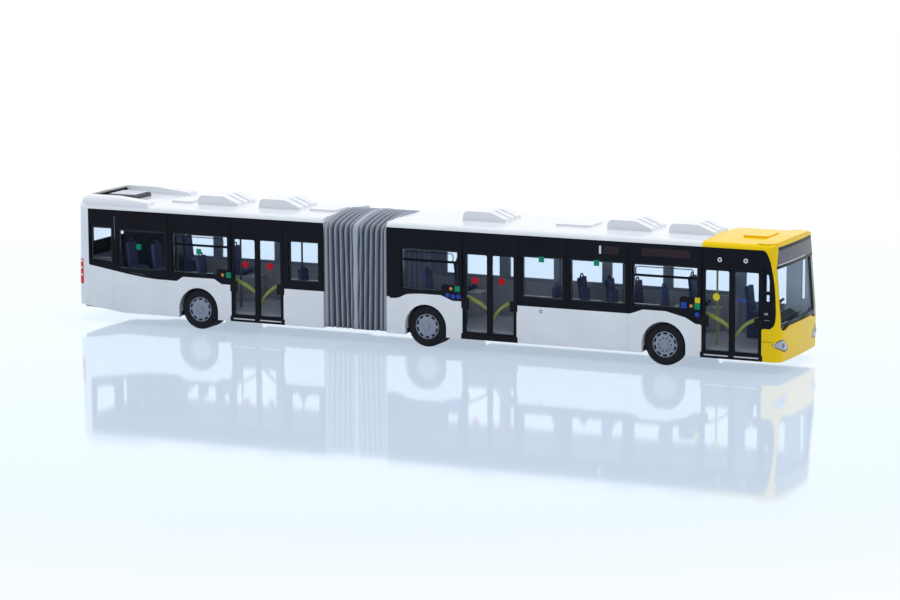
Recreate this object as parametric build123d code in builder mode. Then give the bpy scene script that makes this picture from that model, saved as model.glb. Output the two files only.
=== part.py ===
"""Articulated city bus, a 1:87 scale model in moulded plastic.

The model has two hollow body shells on black floor plates, joined by a vertical pivot
under a folded bellows. Window bands, panes and doors are inlays let into the shells.
Three wheel sets turn in bearing blocks on the floor plates.
Frame: X runs forward, Y to the left, Z up. The origin is on the road at mid length.
"""

import os
from math import hypot

from build123d import *

# Overall sizes
body_length = 208.3
body_width = 29.3
roof_height = 33.0
roof_crown = 0.4
roof_edge_radius = 1.6
skirt_height = 3.1
wall = 1.2

# Inlays: depth of bands and panes, the ledge behind them, and the doors' set-back
inlay_depth = 0.5
inlay_reach = 6.0
end_reach = 8.0
tail_lamp_reach = 3.0
headlamp_reach = 3.0
ledge = 0.4
door_setback = 0.15
door_thickness = 0.6
corner_radius = 0.45

# Sections, and the axles from the nose or from the open ends
front_section_share = 0.535046
bellows_length = 19.0
front_overhang = 32.2
middle_overhang = 11.45
rear_axle_setback = 38.45

# Nose and tail curvature
nose_crown = 0.55
nose_lean = 1.8
nose_lean_height = 13.8
nose_corner_radius = 2.2
dome_length = 7.6
dome_ramp = 1.1
dome_rise = 0.75
dome_setback = 0.12
tail_crown = 1.2
tail_lean = 0.5
tail_lean_height = 12.0
tail_corner_radius = 2.6
tail_skirt_rise = 2.0
tail_skirt_length = 16.0

# Doors along the body
nose_post = 5.55
front_door_to_axle = 10.35
middle_door_to_axle = 10.75
middle_door_width = 15.7
rear_door_lead = 12.1
rear_door_to_axle = 10.25
door_post = 0.95
leaf_gap = 1.5

# Window band, from the road up or from the eaves down
band_drop = 1.25
band_foot = 13.1
band_foot_arch = 14.4
band_foot_nose = 11.6
window_drop = 6.6
window_sill = 15.4
door_drop = 5.7
door_glass_foot = 5.0
door_glass_drop = 7.2
pillar = 1.0
tail_post = 4.75

# Wheels
tyre_radius = 5.5
tyre_width = 3.1
tyre_shoulder = 0.5
rim_radius = 3.65
rim_recess = 0.35
rim_dish = 0.2
rim_lip = 0.45
hub_radius = 1.5
wheel_inset = 0.75
twin_gap = 0.5
axle_radius = 0.75
bearing_clearance = 0.05
bearing_width = 2.0
bearing_wall = 0.9
bearing_to_well = 1.8
arch_clearance = 0.55
well_clearance = 0.4
liner_thickness = 0.5

# Floor plates
plate_rise = 0.2
plate_thickness = 1.3
deck_thickness = 0.8
tray_clearance = 0.1
lining_thickness = 0.5
lining_drop = 0.6

# Joint under the bellows
pivot_pin_radius = 1.5
pivot_clearance = 0.05
pivot_eye_radius = 3.6
pivot_pin_stand = 0.4
turntable_radius = 8.0
turntable_thickness = 1.05
arm_half_width = 4.5
arm_root = 5.0

# Bellows
bellows_inset = 0.25
bellows_fold_depth = 1.2
bellows_drop = 0.7
bellows_crown = 1.9
bellows_corner_radius = 2.2
bellows_wall = 0.4
bellows_lift = 0.3
bellows_frame_inset = 0.3
folds_per_half = 5
hoop_width = 1.9
end_frame_width = 0.9

# Roof equipment
pod_length = 13.0
pod_width = 10.2
pod_height = 2.45
pod_nose_length = 5.0
pod_heel_radius = 1.6
pod_groove = 0.9
hatch_height = 0.45
hatch_width = 9.0
hatch_corner_share = 0.12
cowl_height = 1.75
cowl_rim_width = 4.2
cowl_back_width = 2.3
cowl_inset = 0.45
cowl_setback = 0.55
cowl_length = 24.0
cowl_slope = 12.0
cowl_corner = 3.2
cowl_shoulder = 2.1
cowl_tip_height = 0.7
cowl_box_size = 9.0
cowl_box_lead = 4.5
cowl_edge = 0.5
cowl_grille_thickness = 0.6

# Inside
seat_width = 4.4
seat_depth = 4.2
seat_back_height = 6.4
seat_thickness = 0.9
seat_lean = 0.7
seat_pitch = 8.0
seat_knee_room = 5.7
seat_to_wall = 2.4
cushion_rise = 6.0
tail_cushion_rise = 10.2
driver_cushion_rise = 7.0
box_cushion_rise = 1.5
rail_radius = 0.28
rail_drop = 4.5
handle_thickness = 0.5
handle_width = 0.75
tower_length = 16.5
tower_depth = 6.2
tower_gap = 0.3
tower_to_wall = 1.0
tower_corner = 1.2

# Places that follow from the sizes above
half_width = body_width / 2
front_section_length = front_section_share * body_length
front_wheelbase = front_section_length - front_overhang - middle_overhang
rear_wheelbase = middle_overhang + bellows_length + rear_axle_setback
front_x = body_length / 2
rear_x = -body_length / 2
front_open_x = front_x - front_section_length
rear_open_x = front_open_x - bellows_length
pivot_x = (front_open_x + rear_open_x) / 2
front_axle_x = front_x - front_overhang
middle_axle_x = front_axle_x - front_wheelbase
rear_axle_x = middle_axle_x - rear_wheelbase
arch_radius = tyre_radius + arch_clearance
roof_top = roof_height + roof_crown
ceiling_z = roof_top - wall
band_top = roof_height - band_drop
window_top = roof_height - window_drop
door_head = roof_height - door_drop
door_glass_head = roof_height - door_glass_drop
plate_bottom = skirt_height + plate_rise
plate_top = plate_bottom + plate_thickness
deck_top = plate_top + deck_thickness
turntable_top = plate_bottom - pivot_clearance
turntable_bottom = turntable_top - turntable_thickness
wheel_face_y = half_width - wheel_inset
well_top = 2 * tyre_radius + well_clearance
single_well_y = wheel_face_y - tyre_width - well_clearance
twin_well_y = wheel_face_y - 2 * tyre_width - twin_gap - well_clearance
bearing_y = twin_well_y - bearing_to_well

RIGHT, LEFT = 1, -1

os.makedirs("parts", exist_ok=True)


def write(part, name):
    """Labels a finished piece and writes it under its own name."""
    part.label = name
    export_step(part, f"parts/{name}.step")


def share(start, end, part):
    """Place between two places, as a share of the way."""
    return start + (end - start) * part


def rect(x0, x1, z0, z1):
    """Corners of an upright rectangle on a side or end view."""
    return [(x0, z0), (x1, z0), (x1, z1), (x0, z1)]


def both_sides(outline):
    """An end-view outline on the left with its mirror image on the right."""
    return [outline, [(-y, z) for y, z in reversed(outline)]]


def shrink(outline, margin):
    """The rectangle round an outline, drawn in by a margin."""
    xs = [p[0] for p in outline]
    zs = [p[1] for p in outline]
    return rect(min(xs) + margin, max(xs) - margin, min(zs) + margin, max(zs) - margin)


# Body forms


def body_form(open_x, end_x, crown, lean, lean_height, corner, inset):
    """Closed form of one section, drawn in by inset. A drawn-in form runs past skirt and open end.

    The inside of a wall keeps a sharp eaves edge.
    """
    outward = 1 if end_x > open_x else -1
    spare = 1.0 if inset > 0 else 0.0
    half = half_width - inset
    eave = roof_height - inset
    foot = skirt_height - spare
    tip = end_x - outward * inset
    side_end = tip - outward * crown
    back = open_x - outward * 10
    rise = roof_top + 1 - lean_height
    with BuildPart() as form:
        with BuildSketch(Plane.XY.offset(lean_height)) as plan:
            with BuildLine():
                Polyline((side_end, -half), (back, -half), (back, half), (side_end, half))
                ThreePointArc((side_end, half), (tip, 0), (side_end, -half))
            make_face()
            fillet([v for v in plan.vertices() if abs(v.X - side_end) < 0.01], corner - inset)
        extrude(amount=hypot(rise, lean), dir=(-outward * lean, 0, rise))
        with BuildSketch(Plane.XY.offset(lean_height)):
            add(plan.sketch)
        extrude(amount=-(lean_height - skirt_height + 1))
        with BuildSketch(Plane.YZ.offset(open_x - outward * spare)) as section:
            with BuildLine():
                Polyline((-half, eave), (-half, foot), (half, foot), (half, eave))
                ThreePointArc((half, eave), (0, eave + roof_crown), (-half, eave))
            make_face()
            if inset < wall:
                fillet([v for v in section.vertices() if v.Y > lean_height], roof_edge_radius - inset)
        extrude(amount=end_x - open_x + outward * (spare + 2), mode=Mode.INTERSECT)
    return form.part


def front_form(inset=0.0):
    return body_form(
        front_open_x, front_x, nose_crown, nose_lean, nose_lean_height, nose_corner_radius, inset
    )


def rear_form(inset=0.0):
    return body_form(
        rear_open_x, rear_x, tail_crown, tail_lean, tail_lean_height, tail_corner_radius, inset
    )


def side_block(side, outlines, rounding=0.0):
    """Block drawn on the side view and reaching from outside the wall to well inside it."""
    with BuildPart() as block:
        with BuildSketch(Plane.XZ.offset(side * (half_width - inlay_reach))) as sketch:
            for outline in outlines:
                with BuildLine():
                    Polyline(*outline, close=True)
                make_face()
            if rounding:
                fillet(sketch.vertices(), rounding)
        extrude(amount=side * (inlay_reach + 1))
    return block.part


def end_block(end_x, outlines, rounding=0.0, reach=end_reach):
    """Block drawn on the end view, for pieces let into the nose or the tail."""
    outward = 1 if end_x > 0 else -1
    with BuildPart() as block:
        with BuildSketch(Plane.YZ.offset(end_x - outward * reach)) as sketch:
            for outline in outlines:
                with BuildLine():
                    Polyline(*outline, close=True)
                make_face()
            if rounding:
                fillet(sketch.vertices(), rounding)
        extrude(amount=outward * (reach + 1))
    return block.part


def skin(block, outer, inner):
    """Part of a block between two forms."""
    with BuildPart() as piece:
        add(block)
        add(outer, mode=Mode.INTERSECT)
        add(inner, mode=Mode.SUBTRACT)
    return piece.part


def arch_block(side, axle_x):
    """Block that clears a wheel arch through the side wall."""
    with BuildPart() as block:
        with BuildSketch(Plane.XZ.offset(side * (half_width - inlay_reach))):
            with Locations((axle_x, tyre_radius)):
                Circle(arch_radius)
            with Locations((axle_x, 0)):
                Rectangle(2 * arch_radius, 2 * tyre_radius)
        extrude(amount=side * (inlay_reach + 1))
    return block.part


# Doorways from back to front edge
front_doorway = rect(front_axle_x + front_door_to_axle, front_x - nose_post, skirt_height, door_head)
middle_back = middle_axle_x + middle_door_to_axle
middle_doorway = rect(middle_back, middle_back + middle_door_width, skirt_height, door_head)
rear_doorway = rect(
    rear_axle_x + rear_door_to_axle, rear_open_x - rear_door_lead, skirt_height, door_head
)


def leaf_panes(doorway):
    """The two panes of a double door."""
    x0, x1 = doorway[0][0] + door_post, doorway[1][0] - door_post
    middle = (x0 + x1) / 2
    return [
        rect(x0, middle - leaf_gap / 2, door_glass_foot, door_glass_head),
        rect(middle + leaf_gap / 2, x1, door_glass_foot, door_glass_head),
    ]


# Window bays between two lines, parted at shares of the way, back to front
split_x = front_doorway[0][0] - 0.05
front_bays = (middle_doorway[1][0] + 0.4, (0.267, 0.609), split_x)
tail_x = rear_x + tail_post
rear_bays = (tail_x, (0.187, 0.566), rear_doorway[0][0])


def bay_windows(bays):
    """Windows of a row of bays, a pillar's half width clear of each dividing line."""
    back, parts, front = bays
    lines = [back] + [share(back, front, part) for part in parts] + [front]
    return [rect(a + pillar, b - pillar, window_sill, window_top) for a, b in zip(lines, lines[1:])]


def single_window(back, front):
    return rect(back + pillar, front - pillar, window_sill, window_top)


bellows_window = rect(front_open_x + 4.3, middle_back - 1.3, window_sill, window_top)
coupling_window = rect(rear_doorway[1][0] + 1.5, rear_open_x - 1.4, window_sill, window_top)
driver_window = rect(split_x + 1.5, front_x - 8.4, band_foot, window_top)
front_windows = {RIGHT: bay_windows(front_bays) + [bellows_window]}
front_windows[LEFT] = front_windows[RIGHT] + [
    single_window(middle_back, middle_doorway[1][0]),
    driver_window,
]
rear_windows = {RIGHT: bay_windows(rear_bays)[1:] + [coupling_window]}
rear_windows[LEFT] = rear_windows[RIGHT] + [single_window(rear_doorway[0][0], rear_doorway[1][0])]

# Windows that taper: the small one behind each front post and the last one at the tail
quarter_top = roof_height - 5.5
quarter_window = [
    (front_x - 4.95, 14.0),
    (front_x - 3.1, 14.6),
    (front_x - 2.95, 18.8),
    (front_x - 3.5, share(18.8, quarter_top, 0.6)),
    (front_x - 4.2, quarter_top),
    (front_x - 4.95, quarter_top),
]
last_front = share(rear_bays[0], rear_bays[2], rear_bays[1][0]) - pillar
last_window = [
    (last_front, 16.9),
    (last_front, window_top + 0.5),
    (tail_x + 0.6, window_top + 0.5),
    (tail_x + 0.6, 17.6),
]

# Window band outlines, along the foot from back to front and then round the end
front_band = [
    (front_open_x, band_top),
    (front_open_x, band_foot),
    (middle_axle_x - 7.5, band_foot),
    (middle_axle_x - 5.0, band_foot_arch),
    (middle_axle_x + 4.5, band_foot_arch),
    (middle_axle_x + 7.9, band_foot),
    (front_axle_x - 9.3, band_foot),
    (front_axle_x - 5.8, band_foot_arch),
    (front_axle_x + 0.6, band_foot_arch),
    (front_axle_x + 6.0, band_foot),
    (split_x - 1.5, band_foot_nose),
    (front_x - 3.2, band_foot_nose),
    (front_x - 2.45, band_foot_nose + 1.2),
    (front_x - 2.25, 18.8),
    (front_x - 2.85, share(18.8, band_top, 0.4)),
    (front_x - 3.45, share(18.8, band_top, 0.72)),
    (front_x - 5.25, band_top),
]
rear_band = [
    (rear_open_x, band_top),
    (rear_open_x, band_foot),
    (rear_axle_x + 7.3, band_foot),
    (rear_axle_x + 5.0, band_foot_arch),
    (rear_axle_x - 4.8, band_foot_arch),
    (rear_axle_x - 6.7, band_foot),
    (rear_axle_x - 9.0, band_foot),
    (share(rear_axle_x - 9.0, tail_x, 0.3), band_foot + 0.95),
    (tail_x, band_foot + 3.1),
    (tail_x, band_top),
]

# End pieces on the nose and the tail
screen_y = half_width - 0.9
screen_top = roof_height - 5.8
screen_foot = 11.9
windscreen_half = [
    (screen_y - 5.5, screen_foot),
    (screen_y - 2.2, screen_foot - 0.9),
    (screen_y - 0.6, screen_foot - 0.6),
    (screen_y, screen_foot + 0.4),
    (screen_y, screen_top),
]
windscreen = windscreen_half + [(-y, z) for y, z in reversed(windscreen_half)]
screen_view = rect(0.9 - screen_y, screen_y - 0.9, screen_foot + 0.9, screen_top - ledge)
display_top = roof_height - inlay_depth - 0.1
display_lean = 1.25
display = [
    (-screen_y, screen_top),
    (screen_y, screen_top),
    (screen_y - display_lean, display_top),
    (display_lean - screen_y, display_top),
]
headlamp = [
    (half_width - 5.15, 5.9),
    (half_width - 2.6, 5.5),
    (half_width - 0.3, 6.6),
    (half_width - 0.05, 7.9),
    (half_width - 1.25, 9.0),
    (half_width - 3.2, 8.0),
]
tail_lamp = rect(half_width - 2.55, half_width + 0.5, 10.5, 17.5)
rear_screen_y = half_width - 3.45
rear_screen = rect(-rear_screen_y, rear_screen_y, 17.6, roof_height - 4.4)
engine_grille = rect(5.65 - half_width, half_width - 5.65, 7.4, 14.6)

# Forms that the shells and inlays are cut from
front_outer = front_form()
front_set = front_form(door_setback)
front_bed = front_form(inlay_depth)
front_door_bed = front_form(door_setback + door_thickness)
front_inner = front_form(wall)
front_tray_form = front_form(wall + tray_clearance)
front_room = front_form(wall + tray_clearance + lining_thickness)
rear_outer = rear_form()
rear_set = rear_form(door_setback)
rear_bed = rear_form(inlay_depth)
rear_door_bed = rear_form(door_setback + door_thickness)
rear_inner = rear_form(wall)
rear_tray_form = rear_form(wall + tray_clearance)
rear_room = rear_form(wall + tray_clearance + lining_thickness)

# Inlays


def band_and_panes(side, band, windows, taper, doorways, outer, bed):
    """Blank of a black window band, the band with its window holes, and the panes in the holes."""
    with BuildPart() as holes:
        add(side_block(side, windows, corner_radius))
        add(side_block(side, [taper], corner_radius / 2))
    with BuildPart() as band_block:
        add(side_block(side, [band]))
        if doorways:
            add(side_block(side, doorways), mode=Mode.SUBTRACT)
    blank = skin(band_block.part, outer, bed)
    with BuildPart() as frame:
        add(blank)
        add(holes.part, mode=Mode.SUBTRACT)
    return blank, frame.part, skin(holes.part, outer, bed)


front_doorways = [front_doorway, middle_doorway]
front_blank_right, front_band_right, front_panes_right = band_and_panes(
    RIGHT, front_band, front_windows[RIGHT], quarter_window, front_doorways, front_outer, front_bed
)
front_blank_left, front_band_left, front_panes_left = band_and_panes(
    LEFT, front_band, front_windows[LEFT], quarter_window, None, front_outer, front_bed
)
rear_blank_right, rear_band_right, rear_panes_right = band_and_panes(
    RIGHT, rear_band, rear_windows[RIGHT], last_window, [rear_doorway], rear_outer, rear_bed
)
rear_blank_left, rear_band_left, rear_panes_left = band_and_panes(
    LEFT, rear_band, rear_windows[LEFT], last_window, None, rear_outer, rear_bed
)


def door_and_panes(doorway, outer, bed):
    """Door frame of two leaves set just behind the wall face, and its panes."""
    glass = side_block(RIGHT, leaf_panes(doorway), corner_radius)
    blank = skin(side_block(RIGHT, [doorway]), outer, bed)
    with BuildPart() as frame:
        add(blank)
        add(glass, mode=Mode.SUBTRACT)
    return frame.part, skin(glass, outer, bed)


front_door, front_door_panes = door_and_panes(front_doorway, front_set, front_door_bed)
middle_door, middle_door_panes = door_and_panes(middle_doorway, front_set, front_door_bed)
rear_door, rear_door_panes = door_and_panes(rear_doorway, rear_set, rear_door_bed)

windscreen_piece = skin(end_block(front_x, [windscreen]), front_outer, front_bed)
display_piece = skin(end_block(front_x, [display]), front_outer, front_bed)
headlamp_block = end_block(front_x, both_sides(headlamp), corner_radius, headlamp_reach)
headlamp_piece = skin(headlamp_block, front_outer, front_bed)
tail_lamp_block = end_block(rear_x, both_sides(tail_lamp), reach=tail_lamp_reach)
tail_lamp_piece = skin(tail_lamp_block, rear_outer, rear_bed)
rear_window_piece = skin(end_block(rear_x, [rear_screen], roof_edge_radius), rear_outer, rear_bed)
engine_grille_piece = skin(end_block(rear_x, [engine_grille], corner_radius), rear_outer, rear_bed)

# Shells


def way_through(doorway):
    """Clear opening of a doorway inside its ledge, down past the skirt."""
    return rect(doorway[0][0] + ledge, doorway[1][0] - ledge, 0, doorway[2][1] - ledge)


quarter_view = rect(front_x - 4.6, front_x - 3.7, 15.2, quarter_top - 2)
last_view = rect(tail_x + 1.1, last_front - ledge, 18.2, window_top)

# Raised dome over the windscreen: plan from the back corner to the middle, and half of its crown
brow_share = (roof_height - nose_lean_height) / (roof_top + 1 - nose_lean_height)
dome_front = front_x - nose_lean * brow_share - dome_setback
dome_plan = [
    (front_x - dome_length, half_width - 0.95),
    (dome_front - 1.2 * nose_corner_radius, half_width - 0.95),
    (dome_front - 0.55 * nose_corner_radius, half_width - 1.45),
    (dome_front - 0.55, half_width - nose_corner_radius - 0.2),
    (dome_front - 0.15, half_width / 2),
    (dome_front, half_width / 6),
]
dome_crown = [
    (half_width, roof_height - 1),
    (half_width, roof_height + 0.3),
    (half_width / 2, roof_height + 0.65),
    (0, roof_height + dome_rise),
]

with BuildPart() as dome:
    with BuildSketch(Plane.XY.offset(roof_height - 0.6)):
        with BuildLine():
            Polyline(*dome_plan, *[(x, -y) for x, y in reversed(dome_plan)], close=True)
        make_face()
    extrude(amount=roof_crown + dome_rise + 1)
    with BuildSketch(Plane.YZ.offset(front_x - dome_length)):
        with BuildLine():
            Polyline(*dome_crown, *[(-y, z) for y, z in reversed(dome_crown[:-1])], close=True)
        make_face()
    extrude(amount=dome_length, mode=Mode.INTERSECT)
    with BuildSketch(Plane.XZ):
        with BuildLine():
            Polyline(
                (front_x - dome_length, roof_height - 0.6),
                (front_x - dome_length + dome_ramp, roof_top + dome_rise),
                (front_x, roof_top + dome_rise),
                (front_x, roof_height - 0.6),
                close=True,
            )
        make_face()
    extrude(amount=half_width, both=True, mode=Mode.INTERSECT)

with BuildPart() as front_shell:
    add(front_outer)
    add(dome.part)
    add(front_inner, mode=Mode.SUBTRACT)
    for piece in (front_blank_right, front_blank_left, windscreen_piece, display_piece, headlamp_piece):
        add(piece, mode=Mode.SUBTRACT)
    add(skin(side_block(RIGHT, front_doorways), front_outer, front_door_bed), mode=Mode.SUBTRACT)
    for side in (RIGHT, LEFT):
        openings = [shrink(w, ledge) for w in front_windows[side]] + [quarter_view]
        if side == RIGHT:
            openings += [way_through(doorway) for doorway in front_doorways]
        add(side_block(side, openings), mode=Mode.SUBTRACT)
        for axle_x in (front_axle_x, middle_axle_x):
            add(arch_block(side, axle_x), mode=Mode.SUBTRACT)
    add(end_block(front_x, [screen_view]), mode=Mode.SUBTRACT)

with BuildPart() as front_body:
    add(front_shell.part)
    with BuildSketch(Plane.XY):
        with Locations(((split_x + front_x + 1) / 2, 0)):
            Rectangle(front_x + 1 - split_x, 2 * body_width)
    extrude(amount=2 * roof_height, mode=Mode.SUBTRACT)

with BuildPart() as nose:
    add(front_shell.part)
    add(front_body.part, mode=Mode.SUBTRACT)

with BuildPart() as rear_body:
    add(rear_outer)
    add(rear_inner, mode=Mode.SUBTRACT)
    for piece in (rear_blank_right, rear_blank_left, tail_lamp_piece, rear_window_piece, engine_grille_piece):
        add(piece, mode=Mode.SUBTRACT)
    add(skin(side_block(RIGHT, [rear_doorway]), rear_outer, rear_door_bed), mode=Mode.SUBTRACT)
    for side in (RIGHT, LEFT):
        openings = [shrink(w, ledge) for w in rear_windows[side]] + [last_view]
        if side == RIGHT:
            openings.append(way_through(rear_doorway))
        add(side_block(side, openings), mode=Mode.SUBTRACT)
        add(arch_block(side, rear_axle_x), mode=Mode.SUBTRACT)
    add(end_block(rear_x, [shrink(rear_screen, 2 * ledge)]), mode=Mode.SUBTRACT)
    with BuildSketch(Plane.XZ):
        with BuildLine():
            Polyline(
                (rear_x - 1, 0),
                (rear_x + tail_skirt_length, 0),
                (rear_x + tail_skirt_length, skirt_height),
                (rear_x - 1, skirt_height + tail_skirt_rise),
                close=True,
            )
        make_face()
    extrude(amount=body_width, both=True, mode=Mode.SUBTRACT)

# Floor plates with bearing blocks and the coupling
bearing_half_length = axle_radius + bearing_wall
bearing_top = tyre_radius + axle_radius + bearing_wall
axle_groove = axle_radius + 2 * bearing_clearance


def bearings(axle_x):
    """Pair of bearing blocks: outline on the side view, bored for the axle."""
    with BuildPart() as blocks:
        for y in (-bearing_y, bearing_y):
            with BuildSketch(Plane.XZ.offset(-y)):
                with Locations((axle_x, (plate_bottom + bearing_top) / 2)):
                    Rectangle(2 * bearing_half_length, bearing_top - plate_bottom)
                with Locations((axle_x, tyre_radius)):
                    Circle(axle_radius + bearing_clearance, mode=Mode.SUBTRACT)
            extrude(amount=bearing_width / 2, both=True)
    return blocks.part


def wheel_notches(axle_x, well_y):
    """Blocks that clear the floor plate round both wheels of an axle and along the axle."""
    half_well = tyre_radius + well_clearance
    with BuildPart() as blocks:
        with BuildSketch(Plane.XY.offset(plate_bottom - 1)):
            for side in (RIGHT, LEFT):
                with Locations((axle_x, side * (well_y + half_width) / 2)):
                    Rectangle(2 * half_well, half_width - well_y)
        extrude(amount=plate_thickness + 2)
        with BuildSketch(Plane.XZ):
            with Locations((axle_x, tyre_radius)):
                Circle(axle_groove)
        extrude(amount=half_width, both=True)
    return blocks.part


with BuildPart() as front_chassis:
    with BuildSketch(Plane.XY.offset(plate_bottom)):
        with Locations(((front_x + front_open_x) / 2, 0)):
            Rectangle(front_section_length, body_width)
    extrude(amount=plate_thickness)
    add(front_inner, mode=Mode.INTERSECT)
    add(wheel_notches(front_axle_x, single_well_y), mode=Mode.SUBTRACT)
    add(wheel_notches(middle_axle_x, twin_well_y), mode=Mode.SUBTRACT)
    add(bearings(front_axle_x))
    add(bearings(middle_axle_x))
    with BuildSketch(Plane.XY.offset(turntable_bottom)):
        with Locations((pivot_x, 0)):
            Circle(turntable_radius)
        with Locations(((pivot_x + front_open_x) / 2, 0)):
            Rectangle(front_open_x - pivot_x, 2 * arm_half_width)
    extrude(amount=turntable_thickness)
    with BuildSketch(Plane.XY.offset(turntable_bottom)):
        with Locations((front_open_x + arm_root / 2, 0)):
            Rectangle(arm_root, 2 * arm_half_width)
    extrude(amount=plate_bottom - turntable_bottom)
    with BuildSketch(Plane.XY.offset(turntable_bottom)):
        with Locations((pivot_x, 0)):
            Circle(pivot_pin_radius)
    extrude(amount=plate_top + pivot_pin_stand - turntable_bottom)

with BuildPart() as rear_chassis:
    with BuildSketch(Plane.XY.offset(plate_bottom)):
        with Locations(((rear_x + rear_open_x) / 2, 0)):
            Rectangle(rear_open_x - rear_x, body_width)
    extrude(amount=plate_thickness)
    add(rear_inner, mode=Mode.INTERSECT)
    with BuildSketch(Plane.XZ):
        with BuildLine():
            Polyline(
                (rear_x, 0),
                (rear_x + tail_skirt_length, 0),
                (rear_x + tail_skirt_length, plate_bottom),
                (rear_x, plate_bottom + 0.7 * plate_thickness),
                close=True,
            )
        make_face()
    extrude(amount=body_width, both=True, mode=Mode.SUBTRACT)
    add(wheel_notches(rear_axle_x, twin_well_y), mode=Mode.SUBTRACT)
    add(bearings(rear_axle_x))
    with BuildSketch(Plane.XY.offset(plate_bottom)):
        with Locations((pivot_x, 0)):
            Circle(pivot_eye_radius)
        with Locations(((pivot_x + rear_open_x) / 2, 0)):
            Rectangle(pivot_x - rear_open_x, 2 * pivot_eye_radius)
    extrude(amount=plate_thickness)
    with BuildSketch(Plane.XY.offset(plate_bottom)):
        with Locations((pivot_x, 0)):
            Circle(pivot_pin_radius + pivot_clearance)
    extrude(amount=plate_thickness, mode=Mode.SUBTRACT)

# Floor trays with wheel boxes
box_half_length = tyre_radius + well_clearance
box_top = well_top + liner_thickness
tunnel_half_length = bearing_half_length + liner_thickness
tunnel_top = bearing_top + liner_thickness


def wheel_boxes(axle_x, well_y, grow):
    """Boxes over the wheels and a tunnel over the bearing blocks, all grown by a wall thickness."""
    shapes = [
        # half length, inner y, outer y, top
        (box_half_length, well_y, half_width, well_top),
        (tunnel_half_length, 0.0, well_y + 0.1, tunnel_top),
    ]
    with BuildPart() as boxes:
        for half, y0, y1, top in shapes:
            for side in (RIGHT, LEFT):
                with BuildSketch(Plane.XY.offset(plate_top - 1)):
                    with Locations((axle_x, side * (y0 - grow + y1) / 2)):
                        Rectangle(2 * (half + grow), y1 - y0 + grow)
                extrude(amount=top + grow + 1 - plate_top)
    return boxes.part


def wall_lining(x0, x1, room, doorways):
    """Lining of the side walls between two lines, from the deck up to just below the window sills."""
    with BuildPart() as sheet:
        with BuildSketch(Plane.XY.offset(plate_top)):
            with Locations(((x0 + x1) / 2, 0)):
                Rectangle(x1 - x0, body_width)
        extrude(amount=window_sill - lining_drop - plate_top)
        add(room, mode=Mode.SUBTRACT)
        gaps = [rect(d[0][0] - ledge, d[1][0] + ledge, 0, roof_height) for d in doorways]
        add(side_block(RIGHT, gaps), mode=Mode.SUBTRACT)
    return sheet.part


def floor_tray(open_x, end_x, axles, form, lining):
    """Deck inside the walls with a hollow box over each wheel and a lining along the sides."""
    with BuildPart() as tray:
        with BuildSketch(Plane.XY.offset(plate_top)):
            with Locations(((open_x + end_x) / 2, 0)):
                Rectangle(abs(end_x - open_x), body_width)
        extrude(amount=deck_thickness)
        add(lining)
        for axle_x, well_y in axles:
            add(wheel_boxes(axle_x, well_y, liner_thickness))
        for axle_x, well_y in axles:
            add(wheel_boxes(axle_x, well_y, 0.0), mode=Mode.SUBTRACT)
        add(form, mode=Mode.INTERSECT)
        with BuildSketch(Plane.XY.offset(plate_top)):
            with Locations(((open_x + end_x) / 2, 0)):
                Rectangle(abs(end_x - open_x), body_width)
        extrude(amount=roof_height, mode=Mode.INTERSECT)
    return tray.part


front_axles = [(front_axle_x, single_well_y), (middle_axle_x, twin_well_y)]
rear_axles = [(rear_axle_x, twin_well_y)]
front_lining = wall_lining(front_open_x, split_x, front_room, front_doorways)
rear_lining = wall_lining(rear_x, rear_open_x, rear_room, [rear_doorway])
front_floor = floor_tray(front_open_x, front_x, front_axles, front_tray_form, front_lining)
rear_floor = floor_tray(rear_open_x, rear_x, rear_axles, rear_tray_form, rear_lining)

# Engine tower in the left tail corner, from the deck to just below the ceiling
tower_front = rear_x + tail_post + tower_length - tower_to_wall
tower_y = half_width - wall - tower_to_wall - tower_depth / 2
with BuildPart() as engine_tower:
    with BuildSketch(Plane.XY.offset(deck_top)):
        with Locations((tower_front - tower_length / 2, tower_y)):
            Rectangle(tower_length, tower_depth)
    extrude(amount=roof_height - wall - tower_gap - deck_top)
    chamfer(engine_tower.edges().filter_by(Axis.Z).group_by(Axis.X)[-1].sort_by(Axis.Y)[0], tower_corner)

# Seats: pairs over the wheel boxes, and rows one pitch apart where the floor is free
box_end = box_half_length + liner_thickness
single_seat_y = half_width - 4.2
twin_seat_y = half_width - 4.65
row_seat_y = half_width - 6.05
driver_y = half_width - 7.85


def pair(back_x, y, foot, cushion):
    """Places of two seats across the aisle, with the heights of their feet and cushions."""
    return [(back_x, y, foot, cushion), (back_x, -y, foot, cushion)]


def seat_rows(front, back, cushion):
    """Seat pairs from one line back to another, as many as the pitch allows."""
    first = front - seat_knee_room - seat_depth
    count = 1 + int((first - seat_to_wall - back) / seat_pitch)
    rows = [pair(first - row * seat_pitch, row_seat_y, deck_top, cushion) for row in range(count)]
    return sum(rows, [])


def seats(places):
    """Seats facing forward: pedestal, cushion and backrest in one upright outline."""
    with BuildPart() as group:
        for back_x, y, foot, cushion in places:
            pedestal_x = back_x + 0.7 * seat_depth
            with BuildSketch(Plane.XZ.offset(-y)):
                with BuildLine():
                    Polyline(
                        (back_x, foot),
                        (pedestal_x, foot),
                        (pedestal_x, cushion - seat_thickness),
                        (back_x + seat_depth, cushion - seat_thickness),
                        (back_x + seat_depth, cushion),
                        (back_x + seat_thickness, cushion),
                        (back_x + seat_thickness - seat_lean, cushion + seat_back_height),
                        (back_x - seat_lean, cushion + seat_back_height),
                        (back_x, cushion),
                        close=True,
                    )
                make_face()
            extrude(amount=seat_width / 2, both=True)
    return group.part


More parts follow.
